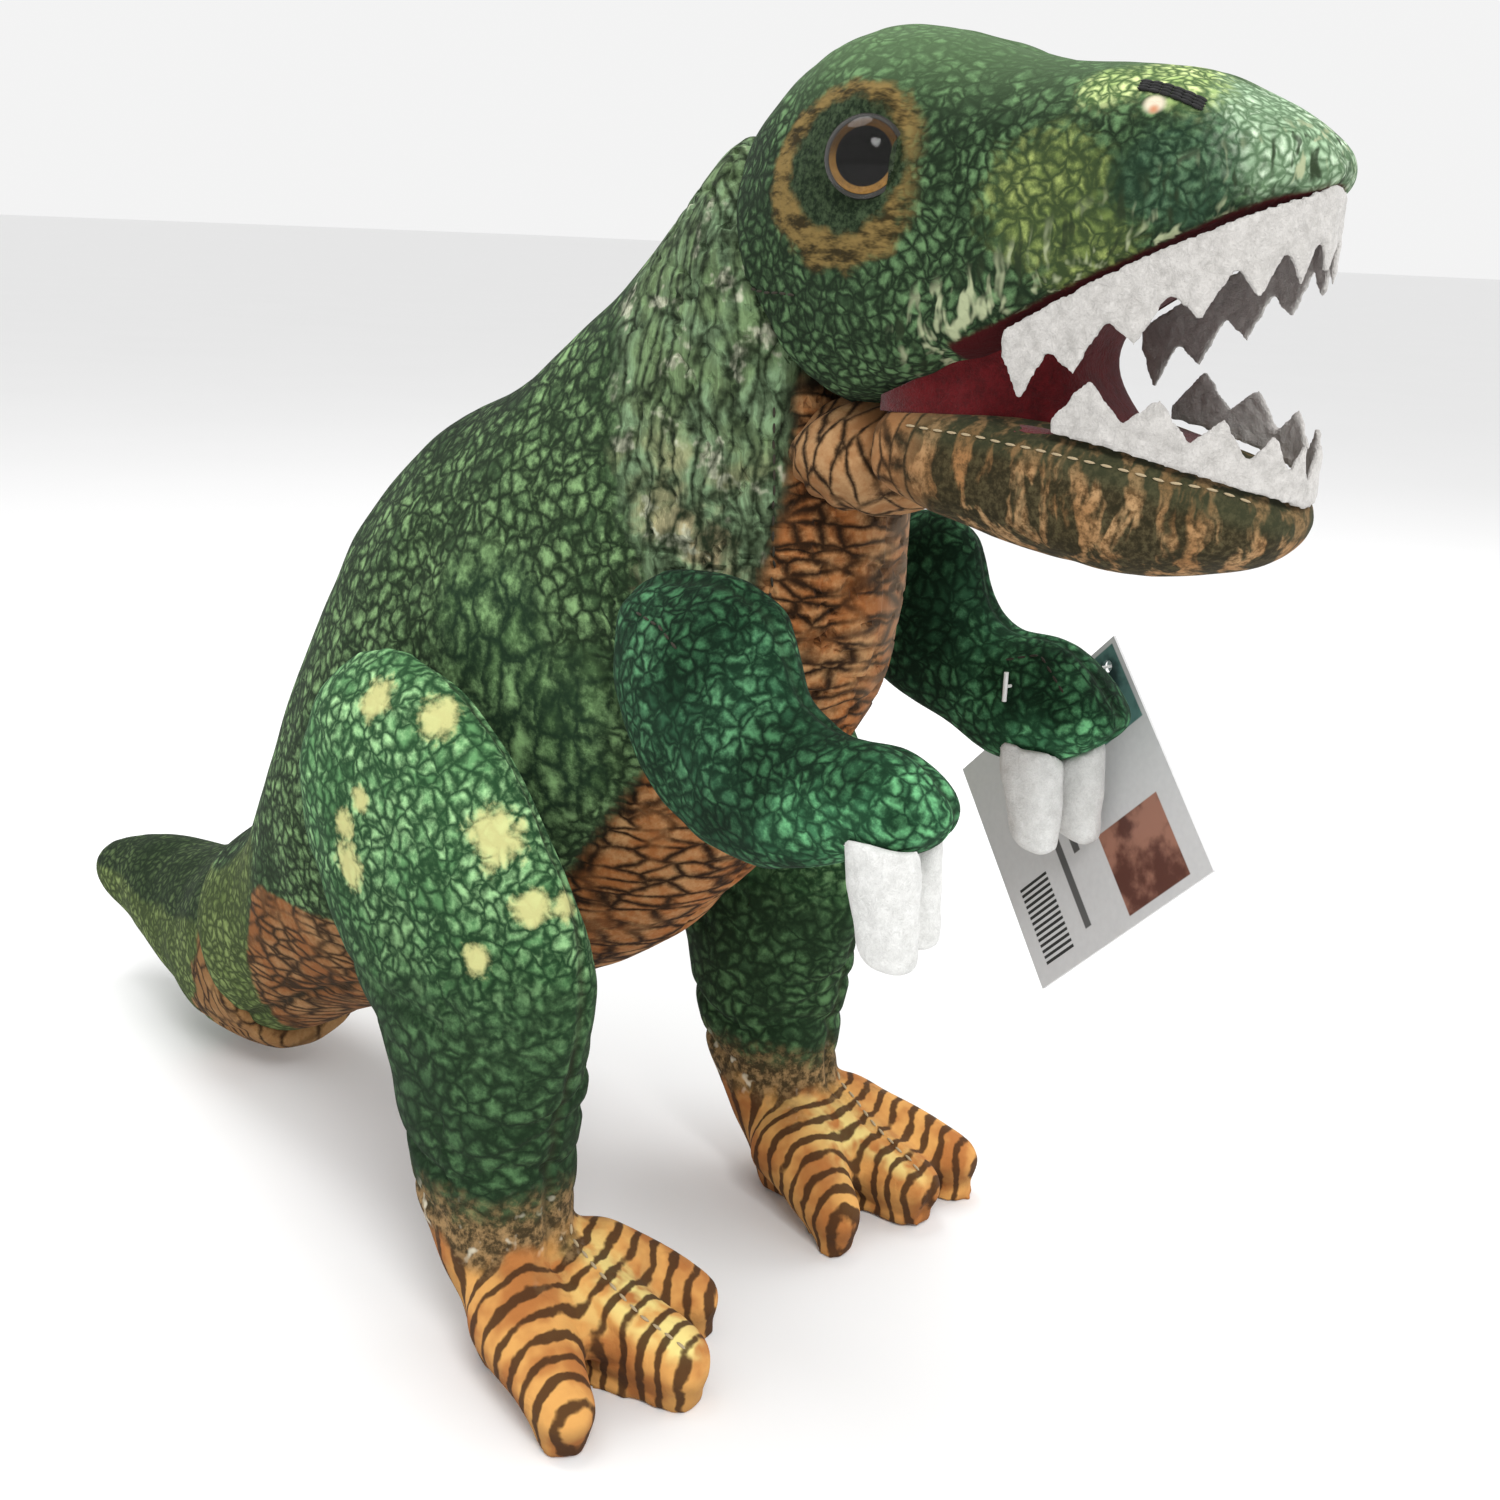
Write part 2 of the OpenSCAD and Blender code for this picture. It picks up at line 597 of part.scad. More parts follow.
module leg_panel(side, outer) color(green) on_side(side) sewn() difference() {
    leg_trimmed(side, 0, 16, 18);
    leg_form(side, -fabric_t, 16, 18);
    translate([outer ? -leg_seam_x : -leg_seam_x - far, -far, 0]) cube([far, 2 * far, far]);
}

module leg_stuffing(side) color(fibre) on_side(side) sewn() intersection() {
    leg_trimmed(side, -fabric_t - 1.5 * stuffing_gap, 12, 14);
    translate([-far, -far, sole_t + stuffing_gap]) cube([2 * far, 2 * far, far]);
}

module leg_outer_right() leg_panel("right", true);
module leg_inner_right() leg_panel("right", false);
module leg_stuffing_right() leg_stuffing("right");
module leg_outer_left() leg_panel("left", true);
module leg_inner_left() leg_panel("left", false);
module leg_stuffing_left() leg_stuffing("left");

// A flat sole under the heel and the three toes
function toe_reach(d, l, r) = cos(d) <= 0 ? 0 :
    r * cos(d) > l * abs(sin(d)) ? l * cos(d) + sqrt(r * r - pow(l * sin(d), 2)) : r / abs(sin(d));

function sole_reach(a, heel, tips) = max([shin_w * 0.38, for (tip = tips)
    let (d = [-stance - tip[0], tip[1] * ky] - heel)
        toe_reach(a - atan2(d[1], d[0]), norm(d), tip[3] * toe_pad)]);

module sole(side) color(orange) on_side(side) linear_extrude(sole_t - sole_play) {
    heel = [-stance, -86 * ky];
    tips = toe_tips(side);
    polygon([for (a = [1:2.5:360]) heel + sole_reach(a, heel, tips) * [cos(a), sin(a)]]);
}
module sole_right() sole("right");
module sole_left() sole("left");

// ---- hang tag ----

// The tag's own frame: its top right corner at the origin, seen from its front
function turn_y(p, a) = [p[0] * cos(a) + p[2] * sin(a), p[1], p[2] * cos(a) - p[0] * sin(a)];
function turn_x(p, a) = [p[0], p[1] * cos(a) - p[2] * sin(a), p[1] * sin(a) + p[2] * cos(a)];
function turn_z(p, a) = [p[0] * cos(a) - p[1] * sin(a), p[0] * sin(a) + p[1] * cos(a), p[2]];
function tag_point(p) = tag_corner + turn_z(turn_x(turn_y(p, -tag_swing), tag_tilt), tag_yaw);
tag_hole_at = tag_point([-tag_hole_in, -tag_t / 2, -tag_hole_in]);

module hang_tag() color([0.8, 0.8, 0.8])
    translate(tag_corner) rotate([0, 0, tag_yaw]) rotate([tag_tilt, 0, 0]) rotate([0, -tag_swing, 0])
        rotate([90, 0, 0]) linear_extrude(tag_t) difference() {
            translate([-tag_w, -tag_h]) square([tag_w, tag_h]);
            translate([-tag_hole_in, -tag_hole_in]) circle(d = tag_hole_d, $fn = 32);
        }

module tag_fastener() color(felt_white) {
    run = tag_hole_at - fastener_start;
    l = norm(run);
    translate(fastener_start) rotate([0, acos(run[2] / l), atan2(run[1], run[0])]) {
        cylinder(h = l + fastener_past, d = fastener_d, $fn = 24);
        translate([-t_bar_l / 2, 0, 0]) rotate([0, 90, 0])
            cylinder(h = t_bar_l, d = fastener_d + 0.4, $fn = 24);
        translate([0, 0, l + fastener_past]) cylinder(h = fastener_d, d = tag_hole_d + 2, $fn = 32);
    }
}

side_panel_right();
side_panel_left();
belly_panel();
torso_stuffing();
care_label();
tail_panel_right();
tail_panel_left();
tail_under_panel();
tail_stuffing();
head_panel_right();
head_panel_left();
head_stuffing();
palate_lining();
upper_teeth();
eye_lens_right();
eye_lens_left();
eye_iris_right();
eye_iris_left();
eye_stem_right();
eye_stem_left();
eye_washer_right();
eye_washer_left();
nostril_stitches();
jaw_skin();
jaw_lining();
jaw_stuffing();
lower_teeth();
arm_outer_right();
arm_inner_right();
arm_stuffing_right();
claw_outer_right();
claw_inner_right();
arm_outer_left();
arm_inner_left();
arm_stuffing_left();
claw_outer_left();
claw_inner_left();
leg_outer_right();
leg_inner_right();
sole_right();
leg_stuffing_right();
leg_outer_left();
leg_inner_left();
sole_left();
leg_stuffing_left();
hang_tag();
tag_fastener();
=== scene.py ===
import math

import bmesh
import bpy
import numpy as np
from mathutils import Matrix, Vector, noise
from mathutils.bvhtree import BVHTree


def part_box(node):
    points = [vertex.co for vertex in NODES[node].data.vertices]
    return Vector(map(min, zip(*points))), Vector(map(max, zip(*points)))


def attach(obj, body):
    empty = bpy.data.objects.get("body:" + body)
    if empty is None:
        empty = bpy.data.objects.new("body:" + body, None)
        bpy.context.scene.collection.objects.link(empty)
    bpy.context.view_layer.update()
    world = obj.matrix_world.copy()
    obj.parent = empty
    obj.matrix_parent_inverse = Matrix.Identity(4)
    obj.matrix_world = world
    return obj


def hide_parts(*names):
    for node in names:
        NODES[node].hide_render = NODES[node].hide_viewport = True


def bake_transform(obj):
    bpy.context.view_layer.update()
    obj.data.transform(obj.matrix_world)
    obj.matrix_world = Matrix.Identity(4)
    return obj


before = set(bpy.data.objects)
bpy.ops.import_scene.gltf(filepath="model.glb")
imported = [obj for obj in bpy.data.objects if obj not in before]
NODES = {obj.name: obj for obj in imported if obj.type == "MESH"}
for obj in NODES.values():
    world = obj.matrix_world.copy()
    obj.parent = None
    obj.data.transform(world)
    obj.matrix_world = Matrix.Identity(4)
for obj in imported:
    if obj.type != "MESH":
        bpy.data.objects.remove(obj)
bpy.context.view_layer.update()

MM = 0.001
SIDES = (("right", -1), ("left", 1))
# Voxels of the covers before they are smoothed and divided, in metres.
TRUNK_VOXEL, TAIL_VOXEL, LEG_VOXEL, FINE_VOXEL = 0.0036, 0.003, 0.0026, 0.0022
LINING_VOXEL, CLAW_VOXEL = 0.0009, 0.0011

# ---------------------------------------------------------------- materials


class Value:
    """A socket of one material, with the usual arithmetic."""

    def __init__(self, cloth, socket):
        self.cloth, self.socket = cloth, socket

    def maths(self, operation, *others):
        return self.cloth.node("Math", {"operation": operation}, dict(enumerate((self,) + others)))

    def __add__(self, other): return self.maths("ADD", other)
    def __sub__(self, other): return self.maths("SUBTRACT", other)
    def __rsub__(self, other): return (self * -1).maths("ADD", other)
    def __mul__(self, other): return self.maths("MULTIPLY", other)
    def __truediv__(self, other): return self.maths("DIVIDE", other)


class Cloth:
    """A material and the nodes that make its pattern."""

    def __init__(self, name, **sockets):
        self.material = bpy.data.materials.new(name)
        self.material.use_nodes = True
        self.tree = self.material.node_tree
        self.shader = self.tree.nodes["Principled BSDF"]
        for socket, value in sockets.items():
            self.set(socket.replace("_", " "), value)

    def set(self, socket, value):
        target = self.shader.inputs[socket]
        if isinstance(value, Value):
            self.tree.links.new(value.socket, target)
        else:
            target.default_value = value

    def node(self, kind, settings=None, inputs=None, output=0):
        made = self.tree.nodes.new("ShaderNode" + kind)
        for name, value in (settings or {}).items():
            setattr(made, name, value)
        for name, value in (inputs or {}).items():
            if isinstance(value, Value):
                self.tree.links.new(value.socket, made.inputs[name])
            else:
                made.inputs[name].default_value = value
        return Value(self, made.outputs[output])

    def place(self):
        """Where a point of the cloth lies at rest."""
        return self.node("Attribute", {"attribute_name": "rest_place"}, output="Vector")

    def mask(self, name):
        return self.node("Attribute", {"attribute_name": name}, output="Fac")

    def object_place(self):
        return self.node("TexCoord", output="Object")

    def axis(self, place, name):
        return self.node("SeparateXYZ", {}, {0: place}, name)

    def vector(self, operation, a, b, output="Vector"):
        return self.node("VectorMath", {"operation": operation}, {0: a, 1: b}, output)

    def distance(self, a, b):
        return self.vector("DISTANCE", a, b, "Value")

    def turned(self, place, rotation=(0, 0, 0), scale=(1, 1, 1), location=(0, 0, 0)):
        return self.node("Mapping", {}, {"Vector": place, "Rotation": rotation, "Scale": scale,
                                         "Location": location})

    def noise(self, place, scale, detail=2.0, roughness=0.5, output="Fac"):
        return self.node("TexNoise", {}, {"Vector": place, "Scale": scale, "Detail": detail,
                                          "Roughness": roughness}, output)

    def wobbled(self, place, scale, amount, detail=2.0):
        """The place pushed about by noise, so that no pattern runs straight."""
        push = self.noise(place, scale, detail, output="Color")
        centred = self.vector("SUBTRACT", push, (0.5, 0.5, 0.5))
        sized = self.node("VectorMath", {"operation": "SCALE"}, {0: centred, "Scale": amount}, "Vector")
        return self.vector("ADD", place, sized)

    def cells(self, place, scale, feature="DISTANCE_TO_EDGE", output="Distance"):
        return self.node("TexVoronoi", {"feature": feature}, {"Vector": place, "Scale": scale}, output)

    def ramp(self, value, low, high, to_low=0.0, to_high=1.0):
        """Goes smoothly from one value to another as the input passes from low to high."""
        return self.node("MapRange", {"interpolation_type": "SMOOTHSTEP"},
                         {"Value": value, "From Min": low, "From Max": high,
                          "To Min": to_low, "To Max": to_high})

    def mix(self, factor, a, b, blend="MIX"):
        paint = lambda c: c if isinstance(c, Value) else (*c, 1)
        made = self.tree.nodes.new("ShaderNodeMix")
        made.data_type, made.blend_type = "RGBA", blend
        factor_socket, a_socket, b_socket = made.inputs[0], made.inputs[6], made.inputs[7]
        for socket, value in ((factor_socket, factor), (a_socket, paint(a)), (b_socket, paint(b))):
            if isinstance(value, Value):
                self.tree.links.new(value.socket, socket)
            else:
                socket.default_value = value
        return Value(self, made.outputs[2])

    def bump(self, height, strength, distance):
        return self.node("Bump", {}, {"Height": height, "Strength": strength, "Distance": distance}, "Normal")


# Scale prints, each as dark lines, cell middles and bright cell middles.
GREEN = (0.012, 0.024, 0.010), (0.045, 0.088, 0.036), (0.24, 0.40, 0.17)
MOSS = (0.012, 0.03, 0.014), (0.075, 0.145, 0.055), (0.27, 0.46, 0.19)
OLIVE = (0.035, 0.052, 0.016), (0.10, 0.145, 0.042), (0.22, 0.29, 0.10)
TAIL_BACK = (0.010, 0.020, 0.008), (0.036, 0.062, 0.024), (0.085, 0.13, 0.050)
HEAD_GREEN = (0.010, 0.020, 0.009), (0.034, 0.068, 0.030), (0.13, 0.24, 0.105)
YELLOW_GREEN = (0.035, 0.055, 0.02), (0.13, 0.18, 0.05), (0.38, 0.45, 0.14)
LIME = (0.06, 0.11, 0.035), (0.36, 0.50, 0.17), (0.70, 0.80, 0.36)
MINT = (0.10, 0.17, 0.09), (0.36, 0.52, 0.33), (0.66, 0.80, 0.60)
DEEP = (0.012, 0.03, 0.016), (0.04, 0.09, 0.05), (0.12, 0.22, 0.12)
EMERALD = (0.006, 0.024, 0.011), (0.026, 0.088, 0.042), (0.11, 0.30, 0.14)
LEAF = (0.018, 0.058, 0.022), (0.12, 0.29, 0.115), (0.42, 0.72, 0.34)
SHIN = (0.010, 0.024, 0.010), (0.036, 0.080, 0.034), (0.090, 0.19, 0.078)
# Wrinkle prints, each as dark lines, orange skin and paler skin.
BELLY_SKIN = (0.022, 0.010, 0.004), (0.32, 0.115, 0.034), (0.50, 0.29, 0.13)
THROAT_SKIN = (0.024, 0.013, 0.006), (0.30, 0.14, 0.055), (0.44, 0.27, 0.13)
TAIL_SKIN = (0.03, 0.015, 0.006), (0.24, 0.12, 0.045), (0.34, 0.20, 0.085)


def scale_print(cloth, place, size, dark, mid, light, stretch=(1, 1, 1), seed=0.0):
    """Printed reptile scales: pale cell middles, dark lines between them, patchy tones."""
    soft = cloth.wobbled(cloth.wobbled(place, 90, 0.007), 1.1 / size, size * 0.75, 1)
    moved = cloth.turned(soft, (0.3, 0.2, 0.5), stretch, (seed, seed, 0))
    edge = cloth.cells(moved, 1 / size)
    tone = cloth.cells(moved, 1 / size, "F1", "Color")
    patch = cloth.noise(place, 30, 4, 0.65)
    fleck = cloth.noise(place, 480, 3, 0.75)
    inside = cloth.ramp(edge + (fleck - 0.5) * 0.3, -0.02, 0.416)
    grey = cloth.node("RGBToBW", {}, {0: tone})
    bright = cloth.ramp(patch * 1.1 + grey * 0.3 + fleck * 0.6, 0.82, 1.28)
    body = cloth.mix(bright, mid, light)
    return cloth.mix(inside, dark, body), inside


def velboa(cloth, colour, relief):
    """Short printed plush: its colour, with the nap's fine bump and a soft sheen."""
    cloth.set("Base Color", colour)
    cloth.set("Roughness", 0.92)
    cloth.set("Specular IOR Level", 0.08)
    cloth.set("Sheen Weight", 0.02)
    cloth.set("Sheen Roughness", 0.6)
    nap = cloth.noise(cloth.place(), 1500, 2, 0.7)
    cloth.set("Normal", cloth.bump(nap * 0.35 + relief, 0.5, 0.0006))
    return cloth.material


def spots(cloth, place, centres, edge_noise):
    """How near a point is to any of the printed spots, 0 to 1."""
    total = None
    for (x, y, z), radius in centres:
        away = cloth.distance(place, (x * MM, y * MM, z * MM))
        near = cloth.ramp(away / (radius * MM) + edge_noise, 0.55, 1.15, 1.0, 0.0)
        total = near if total is None else total.maths("MAXIMUM", near)
    return total


def both_sides(*spot_list):
    return [((sign * x, y, z), radius) for (x, y, z), radius in spot_list for _, sign in SIDES]


def wrinkle_print(cloth, place, dark, orange, pale, spacing, direction, wander, weight):
    """Orange skin with dark wandering lines across it."""
    stretched = cloth.turned(cloth.wobbled(place, 38, wander, 3), scale=direction)
    edge = cloth.cells(stretched, 1 / spacing)
    fleck = cloth.noise(place, 420, 3, 0.7)
    patch = cloth.noise(place, 42, 3, 0.6)
    line = cloth.ramp(edge + (fleck - 0.5) * 0.18, 0.0, weight, 1.0, 0.0)
    ground = cloth.mix(cloth.ramp(patch * 0.8 + fleck * 0.4, 0.5, 0.85), orange, pale)
    faded = line * cloth.ramp(cloth.noise(place, 65, 2), 0.28, 0.5, 0.45, 1.0)
    return cloth.mix(faded, ground, dark), line


def trunk_cloth():
    cloth = Cloth("trunk_print")
    place = cloth.place()
    z = cloth.mask("height")
    scales, inside = scale_print(cloth, place, 0.0054, *GREEN)
    large, _ = scale_print(cloth, place, 0.0088, *MOSS, stretch=(1, 1, 0.6), seed=0.3)
    flank = spots(cloth, place, [((-56, -67, 195), 34), ((-58, -50, 225), 26), ((57, -60, 200), 34)],
                  (cloth.noise(place, 60) - 0.5) * 0.8)
    colour = cloth.mix(flank, scales, large)
    # Long streaks down the neck, and the pale and tan patches between them.
    along = cloth.turned(cloth.wobbled(place, 45, 0.012, 3), (0.42, 0, 0), (1.0, 1.0, 0.28))
    streak = cloth.ramp(cloth.cells(along, 175) + (cloth.noise(place, 380, 3) - 0.5) * 0.4, -0.06, 0.28)
    fine = cloth.ramp(cloth.noise(cloth.turned(along, scale=(1, 1, 0.5)), 420, 3, 0.7), 0.38, 0.62)
    low_front = cloth.ramp(z + (cloth.noise(place, 40, 2) - 0.5) * 0.06, 0.24, 0.30, 1, 0)
    tan = cloth.mix(low_front, (0.17, 0.26, 0.12), (0.44, 0.36, 0.21))
    tan = cloth.mix(cloth.ramp(cloth.noise(place, 80, 3), 0.42, 0.62), tan, (0.20, 0.31, 0.17))
    tan = cloth.mix(cloth.ramp(cloth.noise(place, 95, 3, 0.6), 0.57, 0.66), tan, (0.50, 0.52, 0.38))
    tan = cloth.mix(fine, cloth.mix(0.55, tan, (0.04, 0.05, 0.024)), tan)
    tan = cloth.mix(streak, (0.014, 0.022, 0.010), tan)
    front = cloth.mask("front") + (cloth.noise(place, 48, 4, 0.65) - 0.5) * 1.0
    colour = cloth.mix(cloth.ramp(front, 0.36, 0.72), colour, tan)
    # The belly panel.
    belly, lines = wrinkle_print(cloth, place, *BELLY_SKIN, 0.0080, (0.40, 0.8, 1.6), 0.010, 0.27)
    # The belly turns paler towards its upper left side, ground and lines alike: this is painted sheen.
    side = cloth.axis(place, "X") / 0.03 + (cloth.noise(place, 70, 2) - 0.5) * 1.2
    painted_sheen = cloth.ramp(side, -0.4, 1.2) * cloth.ramp(z, 0.19, 0.23)
    belly = cloth.mix(painted_sheen * 0.5, belly, (0.50, 0.40, 0.29))
    belly = cloth.mix(lines * painted_sheen * 0.5, belly, (0.10, 0.06, 0.035))
    colour = cloth.mix(cloth.mask("belly"), colour, belly)
    tail_side, _ = scale_print(cloth, place, 0.0042, *OLIVE)
    rear = cloth.mask("rear") + (cloth.noise(place, 60, 3) - 0.5) * 0.4
    colour = cloth.mix(cloth.ramp(rear, 0.35, 0.7), colour, tail_side)
    under = cloth.mask("under") + (cloth.noise(place, 60, 3) - 0.5) * 0.5
    brown = cloth.mix(0.35, belly, (0.06, 0.035, 0.014))
    colour = cloth.mix(cloth.ramp(under, 0.4, 0.6), colour, brown)
    # The back is darker along its middle.
    back = cloth.ramp(cloth.mask("ridge"), 0.3, 1.0)
    colour = cloth.mix(back * 0.55, colour, (0.012, 0.03, 0.014), "MULTIPLY")
    colour = cloth.mix(cloth.mask("seam") * 0.6, colour, (0.02, 0.02, 0.012))
    return velboa(cloth, colour, inside * 0.6)


def head_cloth():
    cloth = Cloth("head_print")
    place = cloth.place()
    edge = (cloth.noise(place, 90, 3) - 0.5) * 0.9
    colour, inside = scale_print(cloth, place, 0.0036, *HEAD_GREEN)
    # The top of the head is lighter green: painted light from above.
    lit_crown = cloth.ramp(cloth.axis(place, "Z"), 0.366, 0.392)
    colour = cloth.mix(lit_crown * 0.35, colour, (0.17, 0.29, 0.13))
    # Yellow-green cheek, lime snout, mint tip and a dark patch over the lip.
    for size, palette, share, centres in (
            (0.0040, YELLOW_GREEN, 1.0, (((41, -216, 352), 17), ((38, -228, 340), 14))),
            (0.0030, LIME, 1.0, (((20, -240, 380), 17), ((27, -226, 376), 10))),
            (0.0028, MINT, 1.0, (((8, -259, 371), 21), ((20, -256, 366), 13))),
            (0.0032, DEEP, 0.8, (((31, -246, 360), 14), ((32, -238, 355), 10)))):
        scales, _ = scale_print(cloth, place, size, *palette)
        colour = cloth.mix(spots(cloth, place, both_sides(*centres), edge) * share, colour, scales)
    # Tan and brown ring with a dark middle round each eye.
    eye_centre, squeeze = (0.045, -0.161, 0.357), (1, 0.82, 0.86)
    right_eye, left_eye = (tuple(c * s * (sign if i == 0 else 1)
                                 for i, (c, s) in enumerate(zip(eye_centre, squeeze))) for _, sign in SIDES)
    squeezed = cloth.turned(place, scale=squeeze)
    away = cloth.distance(squeezed, right_eye).maths("MINIMUM", cloth.distance(squeezed, left_eye))
    ring = away + (cloth.noise(place, 160, 3) - 0.5) * 0.007
    streaks = cloth.ramp(cloth.noise(cloth.turned(place, scale=(1, 0.35, 1)), 330, 3, 0.7), 0.36, 0.62)
    tan = cloth.mix(streaks, (0.030, 0.022, 0.008), (0.20, 0.135, 0.045))
    behind = cloth.ramp(cloth.axis(place, "Y"), -0.186, -0.176)
    colour = cloth.mix(cloth.ramp(ring, 0.0185, 0.0215, 1, 0) * behind, colour, tan)
    flecked = cloth.ramp(cloth.noise(place, 600, 3, 0.7), 0.35, 0.7)
    patch = cloth.mix(flecked, (0.008, 0.016, 0.007), (0.045, 0.070, 0.034))
    below_brow = cloth.ramp(cloth.axis(place, "Z"), 0.335, 0.375, 1, 0)
    colour = cloth.mix(cloth.ramp(ring + below_brow * 0.004, 0.0145, 0.0175, 1, 0), colour, patch)
    # Pale upright streaks above the lip, and a dark crease along it.
    upright = cloth.noise(cloth.turned(cloth.wobbled(place, 90, 0.006), scale=(1, 1, 0.22)), 260, 2)
    lip = cloth.mask("lip")
    pale_lip = cloth.ramp(upright, 0.54, 0.68) * cloth.ramp(lip, 0.2, 0.7)
    colour = cloth.mix(pale_lip, colour, (0.36, 0.40, 0.24))
    dark_lip = cloth.ramp(upright, 0.44, 0.34) * cloth.ramp(lip, 0.15, 0.6)
    colour = cloth.mix(dark_lip * 0.85, colour, (0.02, 0.03, 0.014))
    # The nostrils' white and orange marks.
    for centre, mark in ((((31.5, -236.5, 372.4), 3.0), (0.62, 0.55, 0.42)),
                         (((32, -236.8, 371.0), 1.9), (0.45, 0.14, 0.045))):
        colour = cloth.mix(spots(cloth, place, both_sides(centre), edge * 0.7), colour, mark)
    colour = cloth.mix(cloth.mask("inner"), colour, (0.05, 0.004, 0.005))
    colour = cloth.mix(cloth.mask("seam") * 0.5, colour, (0.015, 0.03, 0.015))
    return velboa(cloth, colour, inside * 0.6)


def jaw_cloth():
    cloth = Cloth("jaw_print")
    place = cloth.place()
    upright = cloth.turned(cloth.wobbled(place, 70, 0.010, 3), scale=(0.7, 1.0, 0.16))
    bars = cloth.ramp(cloth.noise(upright, 190, 3, 0.55), 0.40, 0.52)
    fleck = cloth.noise(place, 500, 3, 0.7)
    ground = cloth.ramp(cloth.noise(place, 60, 3), 0.35, 0.65)
    ground = cloth.mix(ground, (0.30, 0.15, 0.058), (0.42, 0.26, 0.125))
    ground = cloth.mix(cloth.ramp(fleck, 0.32, 0.64), (0.11, 0.060, 0.024), ground)
    dark = cloth.mix(cloth.ramp(fleck, 0.42, 0.75), (0.014, 0.015, 0.007), (0.050, 0.050, 0.024))
    colour = cloth.mix(bars * 0.92, ground, dark)
    green = cloth.ramp(cloth.mask("lip") + (fleck - 0.5) * 0.3, 0.5, 0.95)
    colour = cloth.mix(green * 0.45, colour, (0.045, 0.055, 0.028))
    throat, _ = wrinkle_print(cloth, place, *THROAT_SKIN, 0.0085, (0.5, 1.6, 0.6), 0.008, 0.17)
    colour = cloth.mix(cloth.mask("throat"), colour, throat)
    return velboa(cloth, colour, bars * 0.3)


def arm_cloth():
    cloth = Cloth("arm_print")
    place = cloth.place()
    colour, inside = scale_print(cloth, place, 0.0044, *EMERALD)
    patch = cloth.noise(place, 34, 2)
    colour = cloth.mix(cloth.ramp(patch, 0.42, 0.60, 0.85, 0.0), colour, (0.35, 0.42, 0.38), "MULTIPLY")
    colour = cloth.mix(cloth.mask("hand") * cloth.ramp(patch, 0.3, 0.6), colour, (1.9, 2.0, 1.9), "MULTIPLY")
    colour = cloth.mix(cloth.mask("seam") * 0.5, colour, (0.01, 0.02, 0.01))
    return velboa(cloth, colour, inside * 0.6)


CREAM_SPOTS = (((88, -35, 207), 8), ((84, -58, 206), 9), ((86, -83, 176), 11), ((94, -34, 177), 5),
               ((94, -29, 155), 9), ((84, -96, 157), 7), ((76, -101, 157), 6), ((92, -81, 139), 6),
               ((94, -27, 168), 6))
ANKLE = (0.071, -0.052)


def leg_cloth(side, sign):
    cloth = Cloth("leg_print_" + side)
    place = cloth.place()
    z = cloth.mask("height")
    fine, inside = scale_print(cloth, place, 0.0050, *LEAF)
    flat, _ = scale_print(cloth, place, 0.0074, *SHIN, stretch=(1, 1, 1.35), seed=0.7)
    low = z + (cloth.noise(place, 50, 2) - 0.5) * 0.05
    # The lower thigh is darkened where it turns under towards the shin: painted shade.
    fine = cloth.mix(cloth.ramp(low, 0.125, 0.185, 0.75, 0), fine, (0.40, 0.45, 0.40), "MULTIPLY")
    colour = cloth.mix(cloth.ramp(low, 0.105, 0.145, 1, 0), fine, flat)
    edge = (cloth.noise(place, 150, 4, 0.7) - 0.5) * 1.5 + (1 - inside) * 0.25
    cream = spots(cloth, place, [((sign * x, y, up), radius) for (x, y, up), radius in CREAM_SPOTS], edge)
    colour = cloth.mix(cream * 0.85, colour, (0.60, 0.58, 0.25))
    # The ankle fades to brown, and the foot is orange with dark stripes.
    speckle = cloth.noise(place, 260, 3, 0.7)
    brown = cloth.mix(cloth.ramp(speckle, 0.4, 0.66), (0.05, 0.035, 0.016), (0.30, 0.19, 0.085))
    brown = cloth.mix(cloth.ramp(cloth.noise(place, 150, 2), 0.62, 0.72), brown, (0.55, 0.50, 0.38))
    fade = z + (cloth.noise(place, 80, 3) - 0.5) * 0.022
    colour = cloth.mix(cloth.ramp(fade, 0.050, 0.064, 1, 0), colour, brown)
    ground = cloth.ramp(cloth.noise(place, 55, 3), 0.4, 0.62)
    ground = cloth.mix(ground, (0.42, 0.16, 0.045), (0.66, 0.34, 0.10))
    # A pale cream patch on top of the middle toe, where it faces up: painted highlight.
    painted_highlight = cloth.mask("toe_top") * cloth.ramp(cloth.noise(place, 130, 2), 0.35, 0.6)
    ground = cloth.mix(painted_highlight, ground, (0.80, 0.66, 0.24))
    flat_place = cloth.turned(cloth.wobbled(place, 75, 0.006, 3), scale=(1, 1, 0.25))
    reach = cloth.distance(flat_place, (sign * ANKLE[0], ANKLE[1], 0.004))
    stripe_spacing = 0.0062
    wave = (reach * (2 * math.pi / stripe_spacing)).maths("SINE")
    breaks = cloth.noise(place, 120, 3, 0.6)
    stripes = cloth.ramp(wave + (breaks - 0.5) * 2.4, 0.0, 0.7)
    ground = cloth.mix(stripes * 0.94, ground, (0.060, 0.026, 0.011))
    colour = cloth.mix(cloth.ramp(fade, 0.036, 0.046, 1, 0), colour, ground)
    colour = cloth.mix(cloth.mask("seam") * 0.55, colour, (0.02, 0.02, 0.01))
    # The foot's sides and underside, between the toes, are darkened: painted shade.
    colour = cloth.mix(cloth.mask("valley") * 0.75, colour, (0.035, 0.018, 0.009))
    return velboa(cloth, colour, inside * 0.5)


